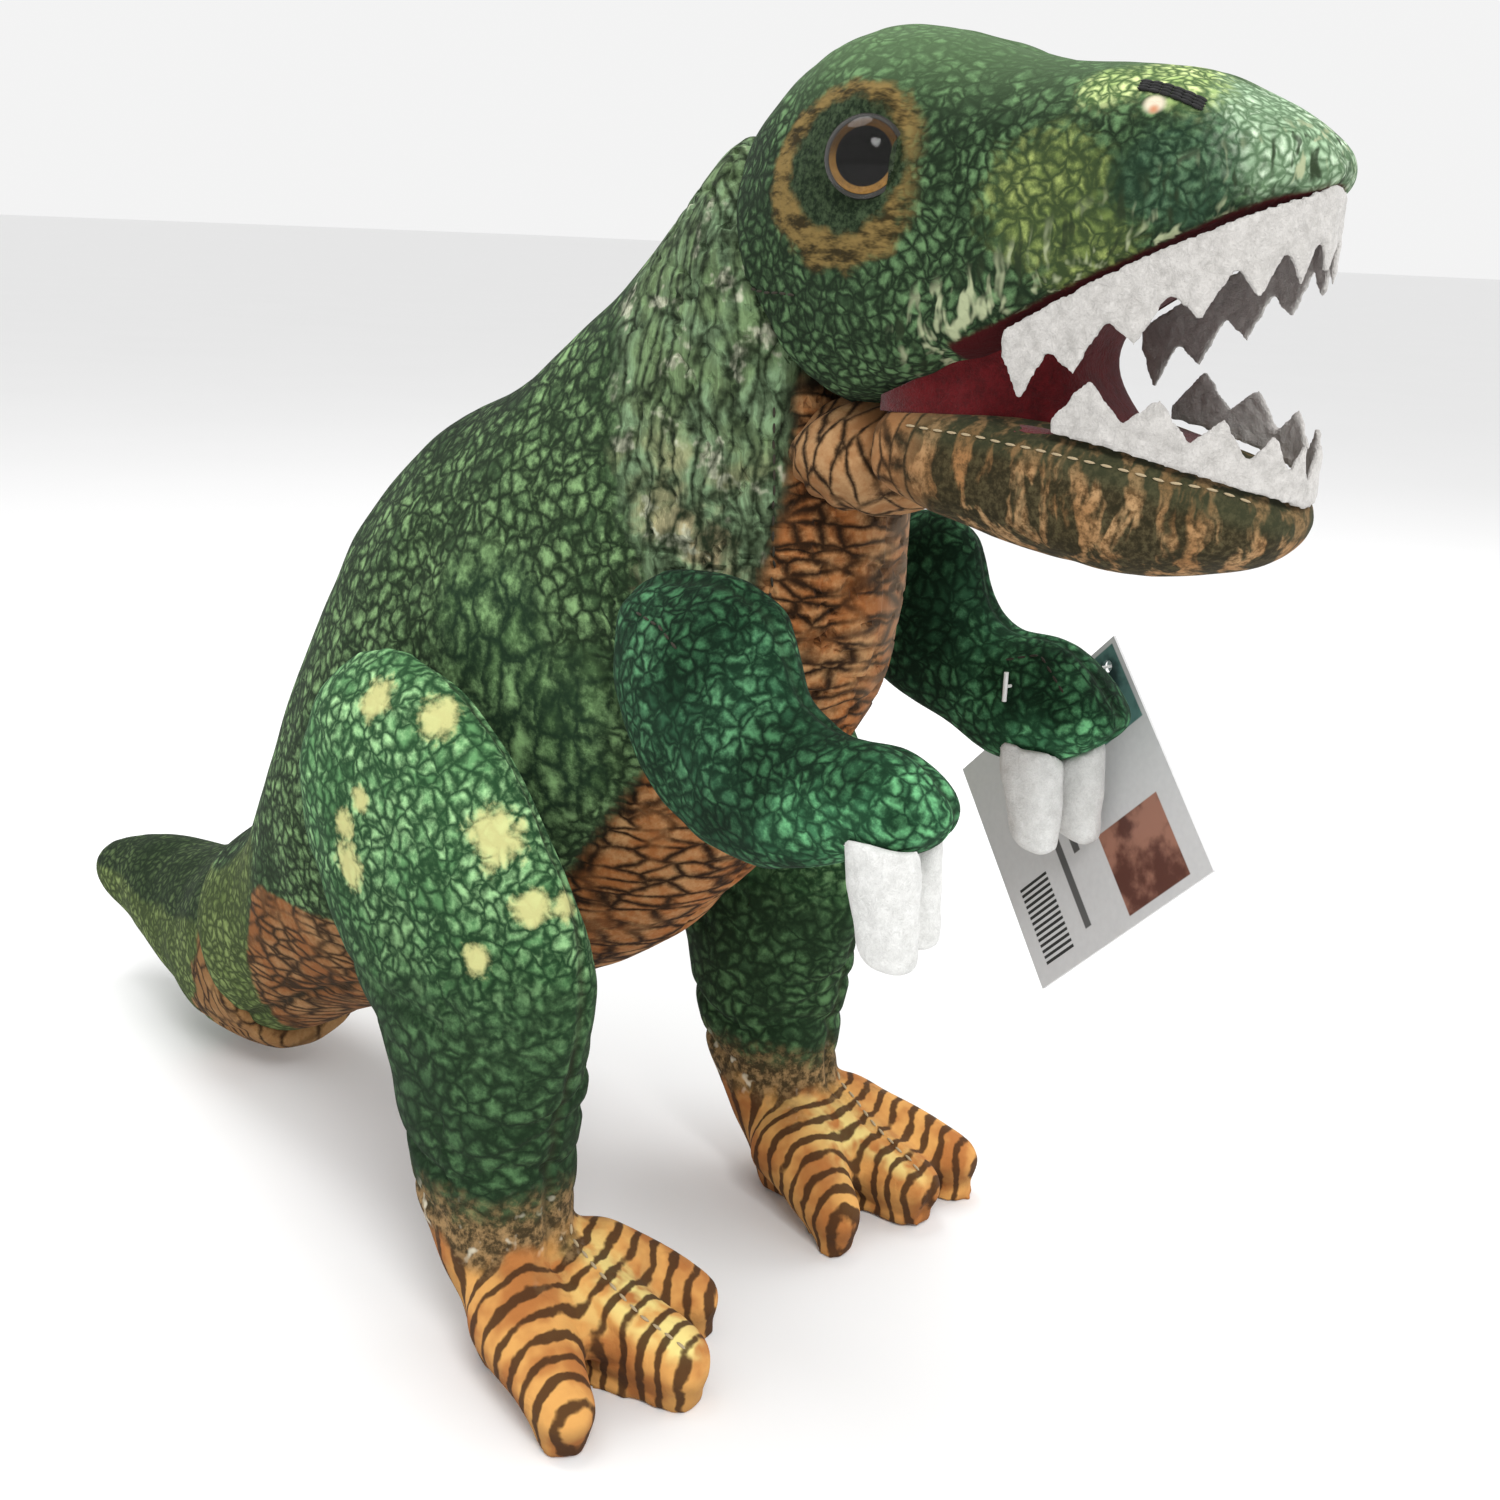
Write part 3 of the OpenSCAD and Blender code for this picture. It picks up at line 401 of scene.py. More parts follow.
def tail_cloth():
    cloth = Cloth("tail_print")
    place = cloth.place()
    scales, inside = scale_print(cloth, place, 0.0042, *TAIL_BACK)
    side, _ = scale_print(cloth, place, 0.0042, *OLIVE)
    under, _ = wrinkle_print(cloth, place, *TAIL_SKIN, 0.0095, (0.5, 1.5, 0.7), 0.010, 0.17)
    ridge = cloth.mask("ridge") + (cloth.noise(place, 60, 3) - 0.5) * 0.35
    colour = cloth.mix(cloth.ramp(ridge, 0.25, 0.5), side, scales)
    base = cloth.mask("under") + (cloth.noise(place, 55, 3) - 0.5) * 0.6
    colour = cloth.mix(cloth.ramp(base, 0.45, 0.6), colour, under)
    return velboa(cloth, colour, inside * 0.6)


def fleece(name, colour, shadow, fuzz=0.0009):
    """Brushed felt or fleece: matted fibres, soft and slightly uneven."""
    cloth = Cloth(name, Roughness=0.95, Specular_IOR_Level=0.15, Sheen_Weight=0.25, Sheen_Roughness=0.5)
    place = cloth.object_place()
    mats = cloth.noise(place, 260, 4, 0.7)
    fibres = cloth.noise(cloth.wobbled(place, 300, 0.004), 1400, 3, 0.8)
    cloth.set("Base Color", cloth.mix(cloth.ramp(mats * 0.6 + fibres * 0.5, 0.3, 0.75), shadow, colour))
    cloth.set("Normal", cloth.bump(mats * 0.6 + fibres * 0.6, 0.7, fuzz))
    return cloth.material


def plastic(name, colour, roughness, coat=0.0):
    """Plastic or thread: one colour with a slight unevenness."""
    cloth = Cloth(name, Coat_Weight=coat, Coat_Roughness=0.05)
    speck = cloth.noise(cloth.object_place(), 900, 3)
    darker = tuple(c * 0.85 for c in colour)
    cloth.set("Base Color", cloth.mix(speck, darker, colour))
    cloth.set("Roughness", cloth.ramp(speck, 0.2, 0.8, roughness, roughness * 1.4))
    return cloth.material


def dome():
    """A clear moulded dome: it glints, and what lies under it shows through."""
    cloth = Cloth("clear_dome")
    glint = cloth.node("BsdfGlossy", {}, {"Color": (1, 1, 1, 1), "Roughness": 0.04}, "BSDF")
    through = cloth.node("BsdfTransparent", {}, {"Color": (0.97, 0.96, 0.93, 1)}, "BSDF")
    rim = cloth.node("Fresnel", {}, {"IOR": 1.5})
    both = cloth.node("MixShader", {}, {0: rim * 0.3, 1: through, 2: glint}, "Shader")
    cloth.tree.links.new(both.socket, cloth.tree.nodes["Material Output"].inputs["Surface"])
    return cloth.material


def iris(side):
    """Black pupil, amber ring with fine spokes, brighter below as painted light, and a black rim."""
    cloth = Cloth("iris_" + side, Roughness=0.5, Specular_IOR_Level=0.1)
    low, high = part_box("eye_iris_" + side)
    centre = (low + high) / 2
    place = cloth.object_place()
    away = cloth.distance(place, tuple(centre))
    grain = cloth.noise(place, 900, 3)
    # The amber is lighter towards the bottom: painted light shining through the dome.
    lit_below = cloth.ramp((cloth.axis(place, "Z") - centre.z) / 0.008, -0.9, 0.6, 1, 0)
    amber = cloth.mix(lit_below, (0.055, 0.028, 0.007), (0.30, 0.165, 0.045))
    amber = cloth.mix(cloth.ramp(grain, 0.3, 0.7) * 0.4, amber, (0.10, 0.045, 0.01))
    colour = cloth.mix(cloth.ramp(away, 0.0070, 0.0073), (0.002, 0.002, 0.002), amber)
    colour = cloth.mix(cloth.ramp(away, 0.0087, 0.0090), colour, (0.003, 0.003, 0.003))
    cloth.set("Base Color", colour)
    return cloth.material


# ---------------------------------------------------------------- meshes


def merged(*names):
    """One bmesh of copies of CAD nodes, with their loose triangles joined."""
    bm = bmesh.new()
    for name in names:
        bm.from_mesh(NODES[name].data)
    bmesh.ops.remove_doubles(bm, verts=bm.verts, dist=1e-5)
    return bm


def piece(name, bm, material):
    """A shaded object made from a bmesh, which is used up."""
    mesh = bpy.data.meshes.new(name)
    bm.normal_update()
    bm.to_mesh(mesh)
    bm.free()
    obj = bpy.data.objects.new(name, mesh)
    bpy.context.scene.collection.objects.link(obj)
    mesh.materials.append(material)
    mesh.polygons.foreach_set("use_smooth", [True] * len(mesh.polygons))
    return obj


def applied(obj):
    """The object's mesh with its modifiers in it."""
    bpy.context.view_layer.update()
    graph = bpy.context.evaluated_depsgraph_get()
    mesh = bpy.data.meshes.new_from_object(obj.evaluated_get(graph))
    old = obj.data
    obj.modifiers.clear()
    obj.data = mesh
    bpy.data.meshes.remove(old)
    return obj


def remeshed(obj, voxel, smooth, level=0):
    """One closed form of even faces, smoothed and divided once more where level is 1."""
    modifier = obj.modifiers.new("form", "REMESH")
    modifier.mode, modifier.voxel_size = "VOXEL", voxel
    applied(obj)
    keep_outer(obj)
    modifier = obj.modifiers.new("even", "SMOOTH")
    modifier.factor, modifier.iterations = 0.5, smooth
    if level:
        modifier = obj.modifiers.new("fine", "SUBSURF")
        modifier.levels = modifier.render_levels = level
    return applied(obj)


def keep_outer(obj):
    """Drops every island but the one that reaches furthest."""
    bm = bmesh.new()
    bm.from_mesh(obj.data)
    left, islands = set(bm.verts), []
    while left:
        island, edge = set(), [next(iter(left))]
        while edge:
            vert = edge.pop()
            if vert in island:
                continue
            island.add(vert)
            edge += [e.other_vert(vert) for e in vert.link_edges]
        left -= island
        islands.append(island)
    reach = lambda island: sum(max(v.co[i] for v in island) - min(v.co[i] for v in island)
                               for i in range(3))
    best = max(islands, key=reach)
    bmesh.ops.delete(bm, geom=[v for v in bm.verts if v not in best], context="VERTS")
    bm.to_mesh(obj.data)
    bm.free()


def tree_of(name):
    bm = merged(name)
    tree = BVHTree.FromBMesh(bm)
    bm.free()
    return tree


def inflated(name, amount):
    """A stuffing's mesh, swollen until it meets the panels round it."""
    bm = merged(name)
    bm.normal_update()
    for vert in bm.verts:
        vert.co += vert.normal * amount
    return bm


def skin(name, panels, stuffing, swell, material, voxel, smooth):
    """The sewn cover of one part: its panels and stuffing as one soft closed form."""
    bm = merged(*panels)
    for node in panels:
        if node.startswith("leg_outer"):
            bm.from_mesh(NODES[node.replace("leg_outer", "sole")].data)
    extra = inflated(stuffing, swell)
    mesh = bpy.data.meshes.new("filling")
    extra.to_mesh(mesh)
    extra.free()
    bm.from_mesh(mesh)
    bpy.data.meshes.remove(mesh)
    return remeshed(piece(name, bm, material), voxel, smooth, 1)


def points(obj):
    co = np.empty(len(obj.data.vertices) * 3, np.float32)
    obj.data.vertices.foreach_get("co", co)
    return co.reshape(-1, 3).astype(float)


def normals(obj):
    out = np.empty(len(obj.data.vertices) * 3, np.float32)
    obj.data.vertex_normals.foreach_get("vector", out)
    return out.reshape(-1, 3).astype(float)


def move(obj, where):
    obj.data.vertices.foreach_set("co", where.astype(np.float32).ravel())
    obj.data.update()


def paint(obj, **masks):
    """Stores values for each point of the piece, for its print to read."""
    for name, values in masks.items():
        layer = obj.data.attributes.new(name, "FLOAT", "POINT")
        layer.data.foreach_set("value", np.asarray(values, np.float32))


def remember_place(obj):
    layer = obj.data.attributes.new("rest_place", "FLOAT_VECTOR", "POINT")
    layer.data.foreach_set("vector", points(obj).astype(np.float32).ravel())


def step(values, low, high):
    """From 0 at low to 1 at high, smoothly."""
    t = np.clip((values - low) / (high - low), 0, 1)
    return t * t * (3 - 2 * t)


def bell(away, width):
    """1 where the distance is nothing, and fading out over the width."""
    return np.exp(-(away / width) ** 2)


def distances(obj, *nodes):
    """How far each point lies from the nearest of some CAD panels."""
    trees = [tree_of(n) for n in nodes]
    return np.array([min(t.find_nearest(p)[3] for t in trees) for p in map(Vector, points(obj))])


def noise_at(co, scale, seed=0.0):
    shift = Vector((seed, seed * 0.7, -seed))
    return np.array([noise.noise(Vector(p) * scale + shift) for p in co])


def lumps(obj, amount, scale, seed=0.0):
    """The slight unevenness of hand stuffing."""
    co = points(obj)
    move(obj, co + normals(obj) * (noise_at(co, scale, seed) * amount)[:, None])


def groove(obj, away, depth, width):
    """Presses a rounded channel into the piece where the distances are small."""
    move(obj, points(obj) - normals(obj) * (depth * bell(away, width))[:, None])


def stitches(name, obj, line, spacing, length, radius, material, lift=0.0003):
    """A row of thread stitches laid on a piece along a line, each one a short stretched ball."""
    mesh = obj.data
    tree = BVHTree.FromPolygons([v.co for v in mesh.vertices], [p.vertices for p in mesh.polygons])
    path = [Vector(p) * MM for p in line]
    places, left = [], 0.0
    for a, b in zip(path, path[1:]):
        run = (b - a).length
        while left < run:
            places.append((a.lerp(b, left / run), (b - a).normalized()))
            left += spacing
        left -= run
    bm = bmesh.new()
    for at, along in places:
        spot, normal, _, _ = tree.find_nearest(at)
        ahead = (along - normal * along.dot(normal)).normalized()
        turn = Matrix((normal.cross(ahead), ahead, normal)).transposed().to_4x4()
        made = bmesh.ops.create_uvsphere(bm, u_segments=8, v_segments=6, radius=1.0)["verts"]
        bmesh.ops.scale(bm, vec=(radius, length / 2, radius), verts=made)
        bmesh.ops.transform(bm, matrix=Matrix.Translation(spot + normal * lift) @ turn, verts=made)
    return piece(name, bm, material)


# ---------------------------------------------------------------- finishes

red_fleece = fleece("red_fleece", (0.135, 0.006, 0.009), (0.050, 0.002, 0.003))
white_felt = fleece("white_felt", (0.60, 0.58, 0.555), (0.38, 0.365, 0.345), fuzz=0.0011)
white_fleece = fleece("white_fleece", (0.78, 0.78, 0.76), (0.56, 0.56, 0.54), fuzz=0.0012)
black_thread = plastic("black_thread", (0.010, 0.010, 0.010), 0.7)
dark_thread = plastic("dark_thread", (0.03, 0.025, 0.015), 0.8)
tan_thread = plastic("tan_thread", (0.42, 0.33, 0.20), 0.8)

# ---------------------------------------------------------------- trunk

trunk = skin("trunk_cover", ["side_panel_right", "side_panel_left", "belly_panel"], "torso_stuffing",
             0.0027, trunk_cloth(), TRUNK_VOXEL, 9)
d_right, d_left = distances(trunk, "side_panel_right"), distances(trunk, "side_panel_left")
d_belly = distances(trunk, "belly_panel")
d_side = np.minimum(d_right, d_left)
belly_seam = np.abs(d_side - d_belly)
back_seam = np.where(points(trunk)[:, 2] > 0.09, np.abs(d_right - d_left), 1)
groove(trunk, belly_seam, 0.0014, 0.0022)
groove(trunk, back_seam, 0.0008, 0.0020)
lumps(trunk, 0.0016, 38)
# Fine wrinkles across the chest.
co = points(trunk)
wrinkle = noise_at(co * np.array([0.5, 1.1, 1.5]), 95, 3.0)
chest = step(co[:, 2], 0.14, 0.2) * step(-co[:, 1], 0.07, 0.11)
move(trunk, co - normals(trunk) * (0.0016 * chest * step(-np.abs(wrinkle), -0.12, 0.0))[:, None])
# The trunk's end is drawn into the root of the tail.
co = points(trunk)
co[:, 1] += 0.006 * step(co[:, 1], 0.105, 0.135)
move(trunk, co)
remember_place(trunk)
x, y, z = co.T
upward = normals(trunk)[:, 2]
rear = 1 - step(y, 0.060, 0.105) * step(z - 0.35 * (y - 0.06), 0.022, 0.060)
paint(trunk,
      height=z,
      belly=step(d_side - d_belly, -0.0007, 0.0007) * rear,
      seam=bell(belly_seam, 0.0016),
      front=step(-y - 0.35 * (0.3 - z), 0.060, 0.105) * step(z, 0.155, 0.235),
      ridge=step(upward - 6 * np.abs(x), -0.1, 0.9) * step(y, -0.09, -0.03),
      under=step(0.112 - z, -0.008, 0.012) * step(y, -0.01, 0.03) * (1 - step(y + 0.35 * z, 0.108, 0.130)),
      rear=step(y + 0.2 * z, 0.085, 0.125) * step(-upward, -0.75, -0.35) * step(-z, -0.140, -0.105))

# ---------------------------------------------------------------- tail

tail = skin("tail_cover", ["tail_panel_right", "tail_panel_left", "tail_under_panel"], "tail_stuffing",
            0.0020, tail_cloth(), TAIL_VOXEL, 10)
d_tail_side = distances(tail, "tail_panel_right", "tail_panel_left")
groove(tail, np.abs(d_tail_side - distances(tail, "tail_under_panel")), 0.0010, 0.0020)
lumps(tail, 0.0012, 45)
# The root reaches into the trunk.
co = points(tail)
co[:, 1] -= 0.014 * step(-co[:, 1], -0.160, -0.134)
move(tail, co)
remember_place(tail)
upward = normals(tail)[:, 2]
paint(tail, ridge=step(upward, -0.1, 0.8), under=step(-upward * 0.4 - (co[:, 1] - 0.15) / 0.06, -0.4, 0.5))

# ---------------------------------------------------------------- head

head = skin("head_cover", ["head_panel_right", "head_panel_left", "palate_lining"], "head_stuffing",
            0.0048, head_cloth(), FINE_VOXEL, 7)
d_head = distances(head, "head_panel_right", "head_panel_left")
d_palate = distances(head, "palate_lining")
snout_seam = np.where(d_palate > 0.006, np.abs(points(head)[:, 0]), 1)
groove(head, snout_seam, 0.0010, 0.0018)
lumps(head, 0.0010, 60)
remember_place(head)
paint(head, lip=step(-d_palate, -0.022, -0.003) * (d_palate > d_head),
      inner=step(d_head - d_palate, -0.0004, 0.0006), seam=bell(snout_seam, 0.0012))

# ---------------------------------------------------------------- jaw

jaw = skin("jaw_cover", ["jaw_skin", "jaw_lining"], "jaw_stuffing", 0.0020, jaw_cloth(), FINE_VOXEL, 6)
d_lining = distances(jaw, "jaw_lining")
lumps(jaw, 0.0010, 60)
remember_place(jaw)
paint(jaw, lip=step(-d_lining, -0.014, -0.002), throat=step(points(jaw)[:, 1], -0.192, -0.170))

# ---------------------------------------------------------------- limbs

# Folds round the shin and the ankle: height and depth in millimetres, and a turn round the leg.
SHIN_FOLDS = ((118, 1.2, 0.0), (104, 1.5, 1.0), (91, 1.7, 2.2), (79, 1.3, 3.1), (66, 2.0, 4.4),
              (56, 2.2, 0.6))
TOE_MIDDLE = 0.062


def panels_and_seam(kind, side, material, voxel, smooth):
    """The cover of a limb, and how far its points lie from its seam."""
    outer, inner = f"{kind}_outer_{side}", f"{kind}_inner_{side}"
    obj = skin(f"{kind}_cover_{side}", [outer, inner], f"{kind}_stuffing_{side}", 0.0023, material,
               voxel, smooth)
    return obj, np.abs(distances(obj, outer) - distances(obj, inner))


arms, legs = {}, {}
for side, sign in SIDES:
    arm, arm_seam = panels_and_seam("arm", side, arm_cloth(), FINE_VOXEL, 8)
    groove(arm, arm_seam, 0.0009, 0.0016)
    lumps(arm, 0.0012, 60, 2.0)
    remember_place(arm)
    y = points(arm)[:, 1]
    paint(arm, seam=bell(arm_seam, 0.0011), hand=step(-y, -y.min() - 0.055, -y.min() - 0.03))
    arms[side] = arm

    leg, leg_seam = panels_and_seam("leg", side, leg_cloth(side, sign), LEG_VOXEL, 6)
    groove(leg, leg_seam, 0.0013, 0.0018)
    lumps(leg, 0.0016, 50, 5.0)
    co, n = points(leg), normals(leg)
    angle = np.arctan2(co[:, 1] + 0.07, co[:, 0] - sign * ANKLE[0])
    folds = np.zeros(len(co))
    for height, depth, phase in SHIN_FOLDS:
        wave = height * MM + 0.004 * np.sin(angle * 1.5 + phase) + 0.002 * np.sin(angle * 3 + phase * 2)
        folds += depth * MM * step(np.sin(angle + phase), -0.9, 0.3) * bell(co[:, 2] - wave, 0.0024)
    move(leg, co - n * folds[:, None])
    remember_place(leg)
    (x, _, z), upward = points(leg).T, normals(leg)[:, 2]
    foot = step(-z, -0.05, -0.03)
    # The foot's masks hold a painted highlight on top of the middle toe and painted shade on its sides and
    # underside.
    paint(leg, height=z, seam=bell(leg_seam, 0.0012) * step(z, 0.035, 0.05),
          toe_top=foot * step(upward, 0.3, 0.8) * bell(x - sign * TOE_MIDDLE, 0.012),
          valley=foot * step(-upward, -0.2, 0.3) * 0.5)
    legs[side] = leg

# ---------------------------------------------------------------- mouth, teeth and claws


def lining(name, node, material, set_in=0.0):
    """A sewn-in sheet, drawn in from its sides and front by a share of its width."""
    obj = remeshed(piece(name, merged(node), material), LINING_VOXEL, 4)
    if set_in:
        co = points(obj)
        co[:, 0] *= 1 - set_in
        co[:, 1] += step(-co[:, 1], 0.24, 0.27) * 0.0025
        move(obj, co)
    return obj


palate = lining("palate_lining_fleece", "palate_lining", red_fleece, 0.06)
tongue = lining("jaw_lining_fleece", "jaw_lining", red_fleece, 0.05)


def mouth_web():
    """Red fleece that closes the back of the mouth, from the palate down to the lower jaw."""
    bm = bmesh.new()
    bmesh.ops.create_grid(bm, x_segments=28, y_segments=14, size=1)
    for vert in bm.verts:
        u, v = vert.co.x, (vert.co.y + 1) / 2
        middle = 1 - abs(u) ** 4
        hollow = 9 * math.sin(math.pi * v) * middle
        vert.co = Vector((31.5 * u, -168 - 54 * middle + hollow, 299.5 + (4 + 27 * middle) * v)) * MM
    bmesh.ops.recalc_face_normals(bm, faces=bm.faces)
    bmesh.ops.solidify(bm, geom=bm.faces, thickness=0.0016)
    return piece("mouth_web_fleece", bm, red_fleece)


def throat():
    """Soft folds of skin between the lower jaw and the neck."""
    bm = bmesh.new()
    bmesh.ops.create_uvsphere(bm, u_segments=96, v_segments=64, radius=1)
    for vert in bm.verts:
        x, y, z = vert.co
        fold = 1 - 0.035 * math.cos(22 * (y * 0.8 + z * 0.6) + 2 * x) * (1 - abs(x) ** 4)
        vert.co = Vector((35 * x * fold, -151 + 23 * y * fold, 285 + 17 * z * fold)) * MM
    bmesh.ops.recalc_face_normals(bm, faces=bm.faces)
    obj = piece("throat_folds", bm, jaw.data.materials[0])
    remember_place(obj)
    ones = np.ones(len(obj.data.vertices))
    paint(obj, lip=ones * 0, throat=ones)
    return obj


web, folds_of_throat = mouth_web(), throat()
upper = lining("upper_felt_teeth", "upper_teeth", white_felt)
lower = lining("lower_felt_teeth", "lower_teeth", white_felt)
for felt in (upper, lower):
    lumps(felt, 0.0004, 420, 1.0)
claws = []
for side, _ in SIDES:
    for row in ("outer", "inner"):
        node = f"claw_{row}_{side}"
        claw = remeshed(piece(node + "_fleece", merged(node), white_fleece), CLAW_VOXEL, 5, 1)
        lumps(claw, 0.0006, 160, 4.0)
        claws.append((claw, node, "arm_" + side))

# ---------------------------------------------------------------- stitching


# Spacing, length and radius of the stitches, in metres.
DART = 0.0036, 0.0028, 0.0004
TOE_SEAM = 0.0046, 0.0034, 0.0005
BELLY_SEAM = 0.0042, 0.0030, 0.0004
JAW_EDGE = 0.0042, 0.0030, 0.00035
NOSTRIL = 0.0026, 0.0034, 0.0005


def sew(name, obj, line, body, material, size):
    made = stitches(name, obj, line, *size, material)
    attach(made, body)


nostrils = []
for side in (-1, 1):
    for row in range(4):
        inward, raised = row * 0.5, row * 0.45
        line = [(side * (29.5 - inward), -232.5, 375.4 + raised),
                (side * (28.5 - inward), -246.0, 371.8 + raised)]
        lift = 0.0004 + 0.0002 * row
        nostrils.append(stitches(f"nostril_{row}_{side}", head, line, *NOSTRIL, black_thread, lift))
bpy.ops.object.select_all(action="DESELECT")
for obj in nostrils:
    obj.select_set(True)
bpy.context.view_layer.objects.active = nostrils[0]
bpy.ops.object.join()
nostril = nostrils[0]
nostril.name = "nostril_threads"
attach(nostril, "head")
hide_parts("nostril_stitches")

toe_lines = {"right": [(-63, -92, 43), (-65, -107, 36), (-65, -124, 29), (-61, -141, 20)],
             "left": [(80, -92, 42), (77, -105, 36), (74, -118, 31), (73, -134, 24)]}
for side, _ in SIDES:
    sew("toe_stitches_" + side, legs[side], toe_lines[side], "leg_" + side, tan_thread, TOE_SEAM)
for side, sign in SIDES:
    shoulder_line = [(sign * 67, -118, 243), (sign * 69, -128, 241), (sign * 71, -137, 236)]
    sew("shoulder_dart_" + side, arms[side], shoulder_line, "arm_" + side, dark_thread, DART)
hand_line = [(46, -169, 221), (50, -177, 222), (46, -187, 215)]
sew("hand_seam_left", arms["left"], hand_line, "arm_left", dark_thread, DART)
for side, sign in SIDES:
    cheek_line = [(sign * 40, -127, 326), (sign * 42, -139, 327), (sign * 42, -148, 327)]
    sew("cheek_dart_" + side, head, cheek_line, "head", dark_thread, DART)
    belly_line = [(sign * 32, -134, 296), (sign * 32, -135, 281), (sign * 32, -136, 267),
                  (sign * 32, -136, 253), (sign * 33, -136, 238), (sign * 34, -134, 220)]
    belly_stitches = stitches("belly_stitches_" + side, trunk, belly_line, *BELLY_SEAM, dark_thread)
    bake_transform(belly_stitches)
    lip_line = [(sign * 37, -180, 298), (sign * 37, -200, 297), (sign * 35, -225, 294),
                (sign * 29, -248, 290), (sign * 16, -265, 286)]
    sew("jaw_edge_stitches_" + side, jaw, lip_line, "jaw", tan_thread, JAW_EDGE)

# ---------------------------------------------------------------- carried-over pieces


def dress(material, *names):
    """Gives pieces that stay as they are their material."""
    for name in names:
        mesh = NODES[name].data
        mesh.materials.clear()
        mesh.materials.append(material)


black_plastic = plastic("black_plastic", (0.012, 0.012, 0.012), 0.3, 0.5)
white_plastic = plastic("white_plastic", (0.80, 0.80, 0.78), 0.35)
label_cloth = fleece("label_ribbon", (0.75, 0.74, 0.70), (0.60, 0.58, 0.54), fuzz=0.0003)
for side, _ in SIDES:
    dress(dome(), "eye_lens_" + side)
    dress(iris(side), "eye_iris_" + side)
    dress(black_plastic, "eye_stem_" + side, "eye_washer_" + side)
dress(white_plastic, "tag_fastener")
dress(label_cloth, "care_label")


def tag_card():
    """Plain card printed with a dark panel, rules and a row of bars."""
    cloth = Cloth("tag_card", Roughness=0.42, Specular_IOR_Level=0.4)
    place = cloth.object_place()
    co = np.array([v.co for v in NODES["hang_tag"].data.vertices])
    top, bottom = co[co[:, 2].argmax()], co[co[:, 2].argmin()]
    card_normal = (0.929, -0.338, -0.150)
    across = np.cross(bottom - top, card_normal)
    ends = [co[(co @ across).argmax()], co[(co @ across).argmin()]]
    low_side, high_side = sorted(ends, key=lambda corner: corner[2])

    def along(to):
        """0 at the top corner and 1 at another one."""
        d = (to - top) / np.dot(to - top, to - top)
        return cloth.vector("DOT_PRODUCT", cloth.vector("SUBTRACT", place, tuple(top)), tuple(d), "Value")

    u, v = along(low_side), along(high_side)
    soft = 0.003

    def block(u0, u1, v0, v1):
        return (cloth.ramp(u, u0 - soft, u0 + soft) * cloth.ramp(u, u1 - soft, u1 + soft, 1, 0)
                * cloth.ramp(v, v0 - soft, v0 + soft) * cloth.ramp(v, v1 - soft, v1 + soft, 1, 0))

    paper = cloth.mix(cloth.noise(place, 500, 3), (0.56, 0.56, 0.565), (0.64, 0.64, 0.64))
    picture = cloth.ramp(cloth.noise(place, 70, 4), 0.4, 0.6)
    picture = cloth.mix(picture, (0.012, 0.035, 0.035), (0.10, 0.22, 0.20))
    colour = cloth.mix(block(0.02, 0.46, 0.02, 0.34), paper, picture)
    earth = cloth.ramp(cloth.noise(place, 90, 4), 0.4, 0.6)
    earth = cloth.mix(earth, (0.10, 0.035, 0.025), (0.34, 0.16, 0.11))
    colour = cloth.mix(block(0.10, 0.44, 0.62, 0.96), colour, earth)
    for row, (start, finish) in enumerate(((0.10, 0.62), (0.10, 0.90))):
        rule = block(0.55 + row * 0.085, 0.585 + row * 0.085, start, finish)
        colour = cloth.mix(rule, colour, (0.10, 0.10, 0.10))
    uneven = cloth.noise(cloth.node("CombineXYZ", {}, {0: v}, "Vector"), 60, 1) * 0.9
    bars = cloth.ramp((v * 260).maths("SINE") + uneven, 0.35, 0.45)
    colour = cloth.mix(block(0.76, 0.93, 0.60, 0.94) * bars, colour, (0.02, 0.02, 0.02))
    cloth.set("Base Color", colour)
    return cloth.material


dress(tag_card(), "hang_tag")

# ---------------------------------------------------------------- bodies

trunk_nodes = ["side_panel_right", "side_panel_left", "belly_panel", "torso_stuffing"]
tail_nodes = ["tail_panel_right", "tail_panel_left", "tail_under_panel", "tail_stuffing"]
head_nodes = ["head_panel_right", "head_panel_left", "head_stuffing"]
covers = [(trunk, 0.85, trunk_nodes, "green_plush"), (tail, 0.85, tail_nodes, "green_plush"),
          (head, 0.9, head_nodes, "green_plush"), (jaw, 0.9, ["jaw_skin", "jaw_stuffing"], "orange_plush")]
for side, _ in SIDES:
    arm_nodes = [f"arm_outer_{side}", f"arm_inner_{side}", f"arm_stuffing_{side}"]
    leg_nodes = [f"leg_outer_{side}", f"leg_inner_{side}", f"leg_stuffing_{side}", f"sole_{side}"]
    covers += [(arms[side], 0.85, arm_nodes, "green_plush"), (legs[side], 0.85, leg_nodes, "green_plush")]
for obj, fill, nodes, slot in covers:
    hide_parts(*nodes)
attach(folds_of_throat, "head")
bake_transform(web)
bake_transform(trunk)
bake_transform(tail)
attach(head, "head")
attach(jaw, "jaw")
for side, _ in SIDES:
    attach(arms[side], "arm_" + side)
    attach(legs[side], "leg_" + side)
for obj, node, body, slot in ((palate, "palate_lining", "head", "red_fleece"),
                              (tongue, "jaw_lining", "jaw", "red_fleece"),
                              (upper, "upper_teeth", "head", "white_felt"),
                              (lower, "lower_teeth", "jaw", "white_felt")):
    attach(obj, body)
    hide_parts(node)
for claw, node, body in claws:
    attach(claw, body)
    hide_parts(node)

# ---------------------------------------------------------------- stage, light and camera

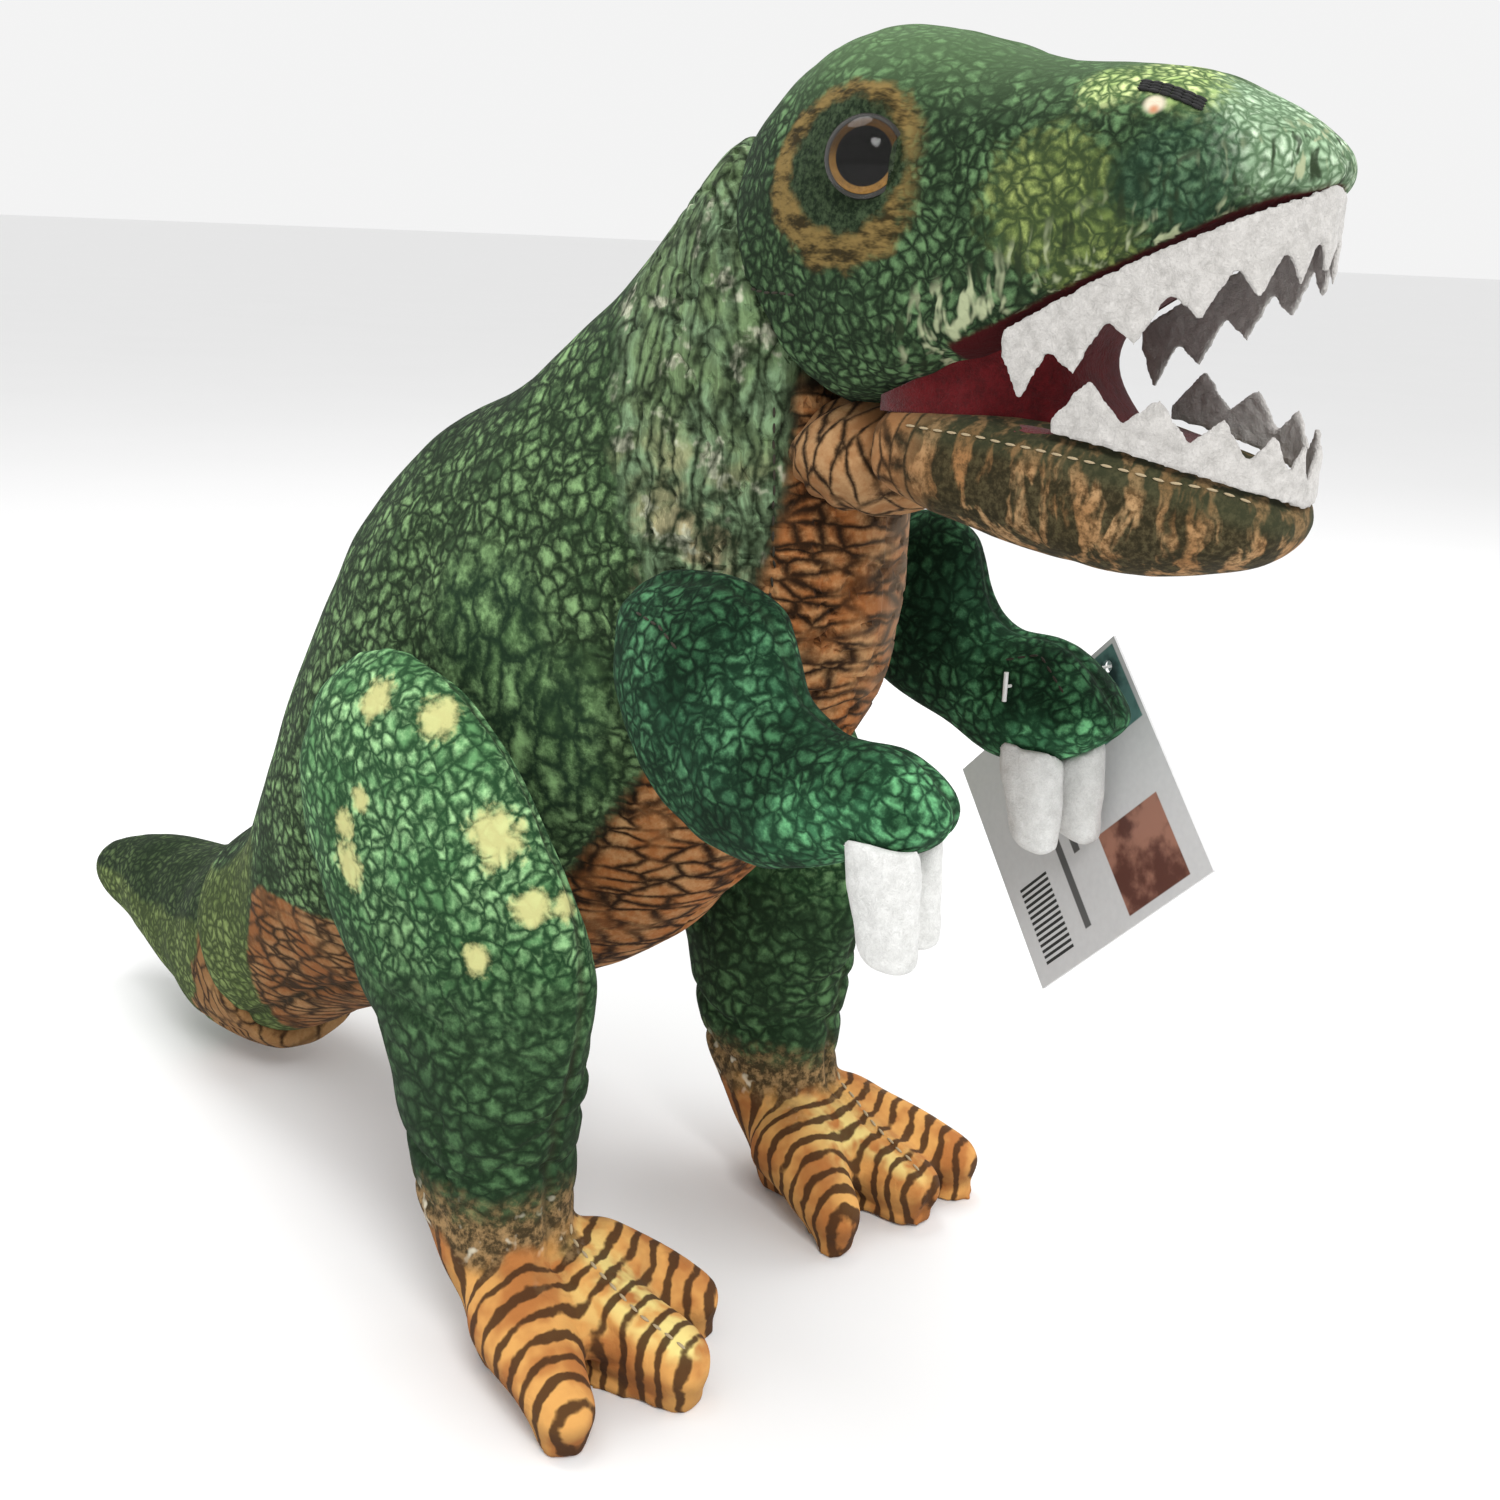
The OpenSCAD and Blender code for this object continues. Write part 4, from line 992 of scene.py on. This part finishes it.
FLOOR_HALF = 60
floor_bm = bmesh.new()
bmesh.ops.create_grid(floor_bm, x_segments=1, y_segments=1, size=FLOOR_HALF)
backdrop = Cloth("backdrop", Roughness=0.9)
unevenness = backdrop.noise(backdrop.object_place(), 3, 2)
backdrop.set("Base Color", backdrop.mix(unevenness, (0.86, 0.86, 0.86), (0.88, 0.88, 0.88)))
floor = piece("floor", floor_bm, backdrop.material)

world = bpy.data.worlds.new("studio")
world.use_nodes = True
world.node_tree.nodes["Background"].inputs["Color"].default_value = (1, 1, 1, 1)
world.node_tree.nodes["Background"].inputs["Strength"].default_value = 0.9
bpy.context.scene.world = world


AIM = Vector((0, -0.05, 0.2))


def lamp(name, at, size, power):
    light = bpy.data.lights.new(name, "AREA")
    light.shape, light.size, light.energy = "DISK", size, power
    obj = bpy.data.objects.new(name, light)
    bpy.context.scene.collection.objects.link(obj)
    obj.location = at
    obj.rotation_euler = (AIM - Vector(at)).to_track_quat("-Z", "Y").to_euler()


lamp("key", (-0.9, -1.2, 1.6), 0.7, 21)
lamp("fill", (1.5, -0.9, 0.9), 1.2, 7)
lamp("top", (0.1, 0.5, 1.8), 1.0, 12)

bpy.context.scene.view_settings.view_transform = "Standard"

CAMERA_PLACE, LENS_MM, SENSOR_MM = (-0.410, -0.423, 0.341), 41.83, 36
azimuth, drop, roll = math.radians(-52.3), math.radians(16.4), math.radians(2.45)
forward = Vector((-math.sin(azimuth) * math.cos(drop), math.cos(azimuth) * math.cos(drop), -math.sin(drop)))
right = Vector((math.cos(azimuth), math.sin(azimuth), 0))
up = right.cross(forward)
right, up = right * math.cos(roll) + up * math.sin(roll), up * math.cos(roll) - right * math.sin(roll)
camera = bpy.data.objects.new("camera", bpy.data.cameras.new("camera"))
bpy.context.scene.collection.objects.link(camera)
facing = Matrix((right, up, -forward)).transposed().to_4x4()
camera.matrix_world = Matrix.Translation(CAMERA_PLACE) @ facing
camera.data.lens, camera.data.sensor_width = LENS_MM, SENSOR_MM
camera.data.clip_start = 0.01
bpy.context.scene.camera = camera
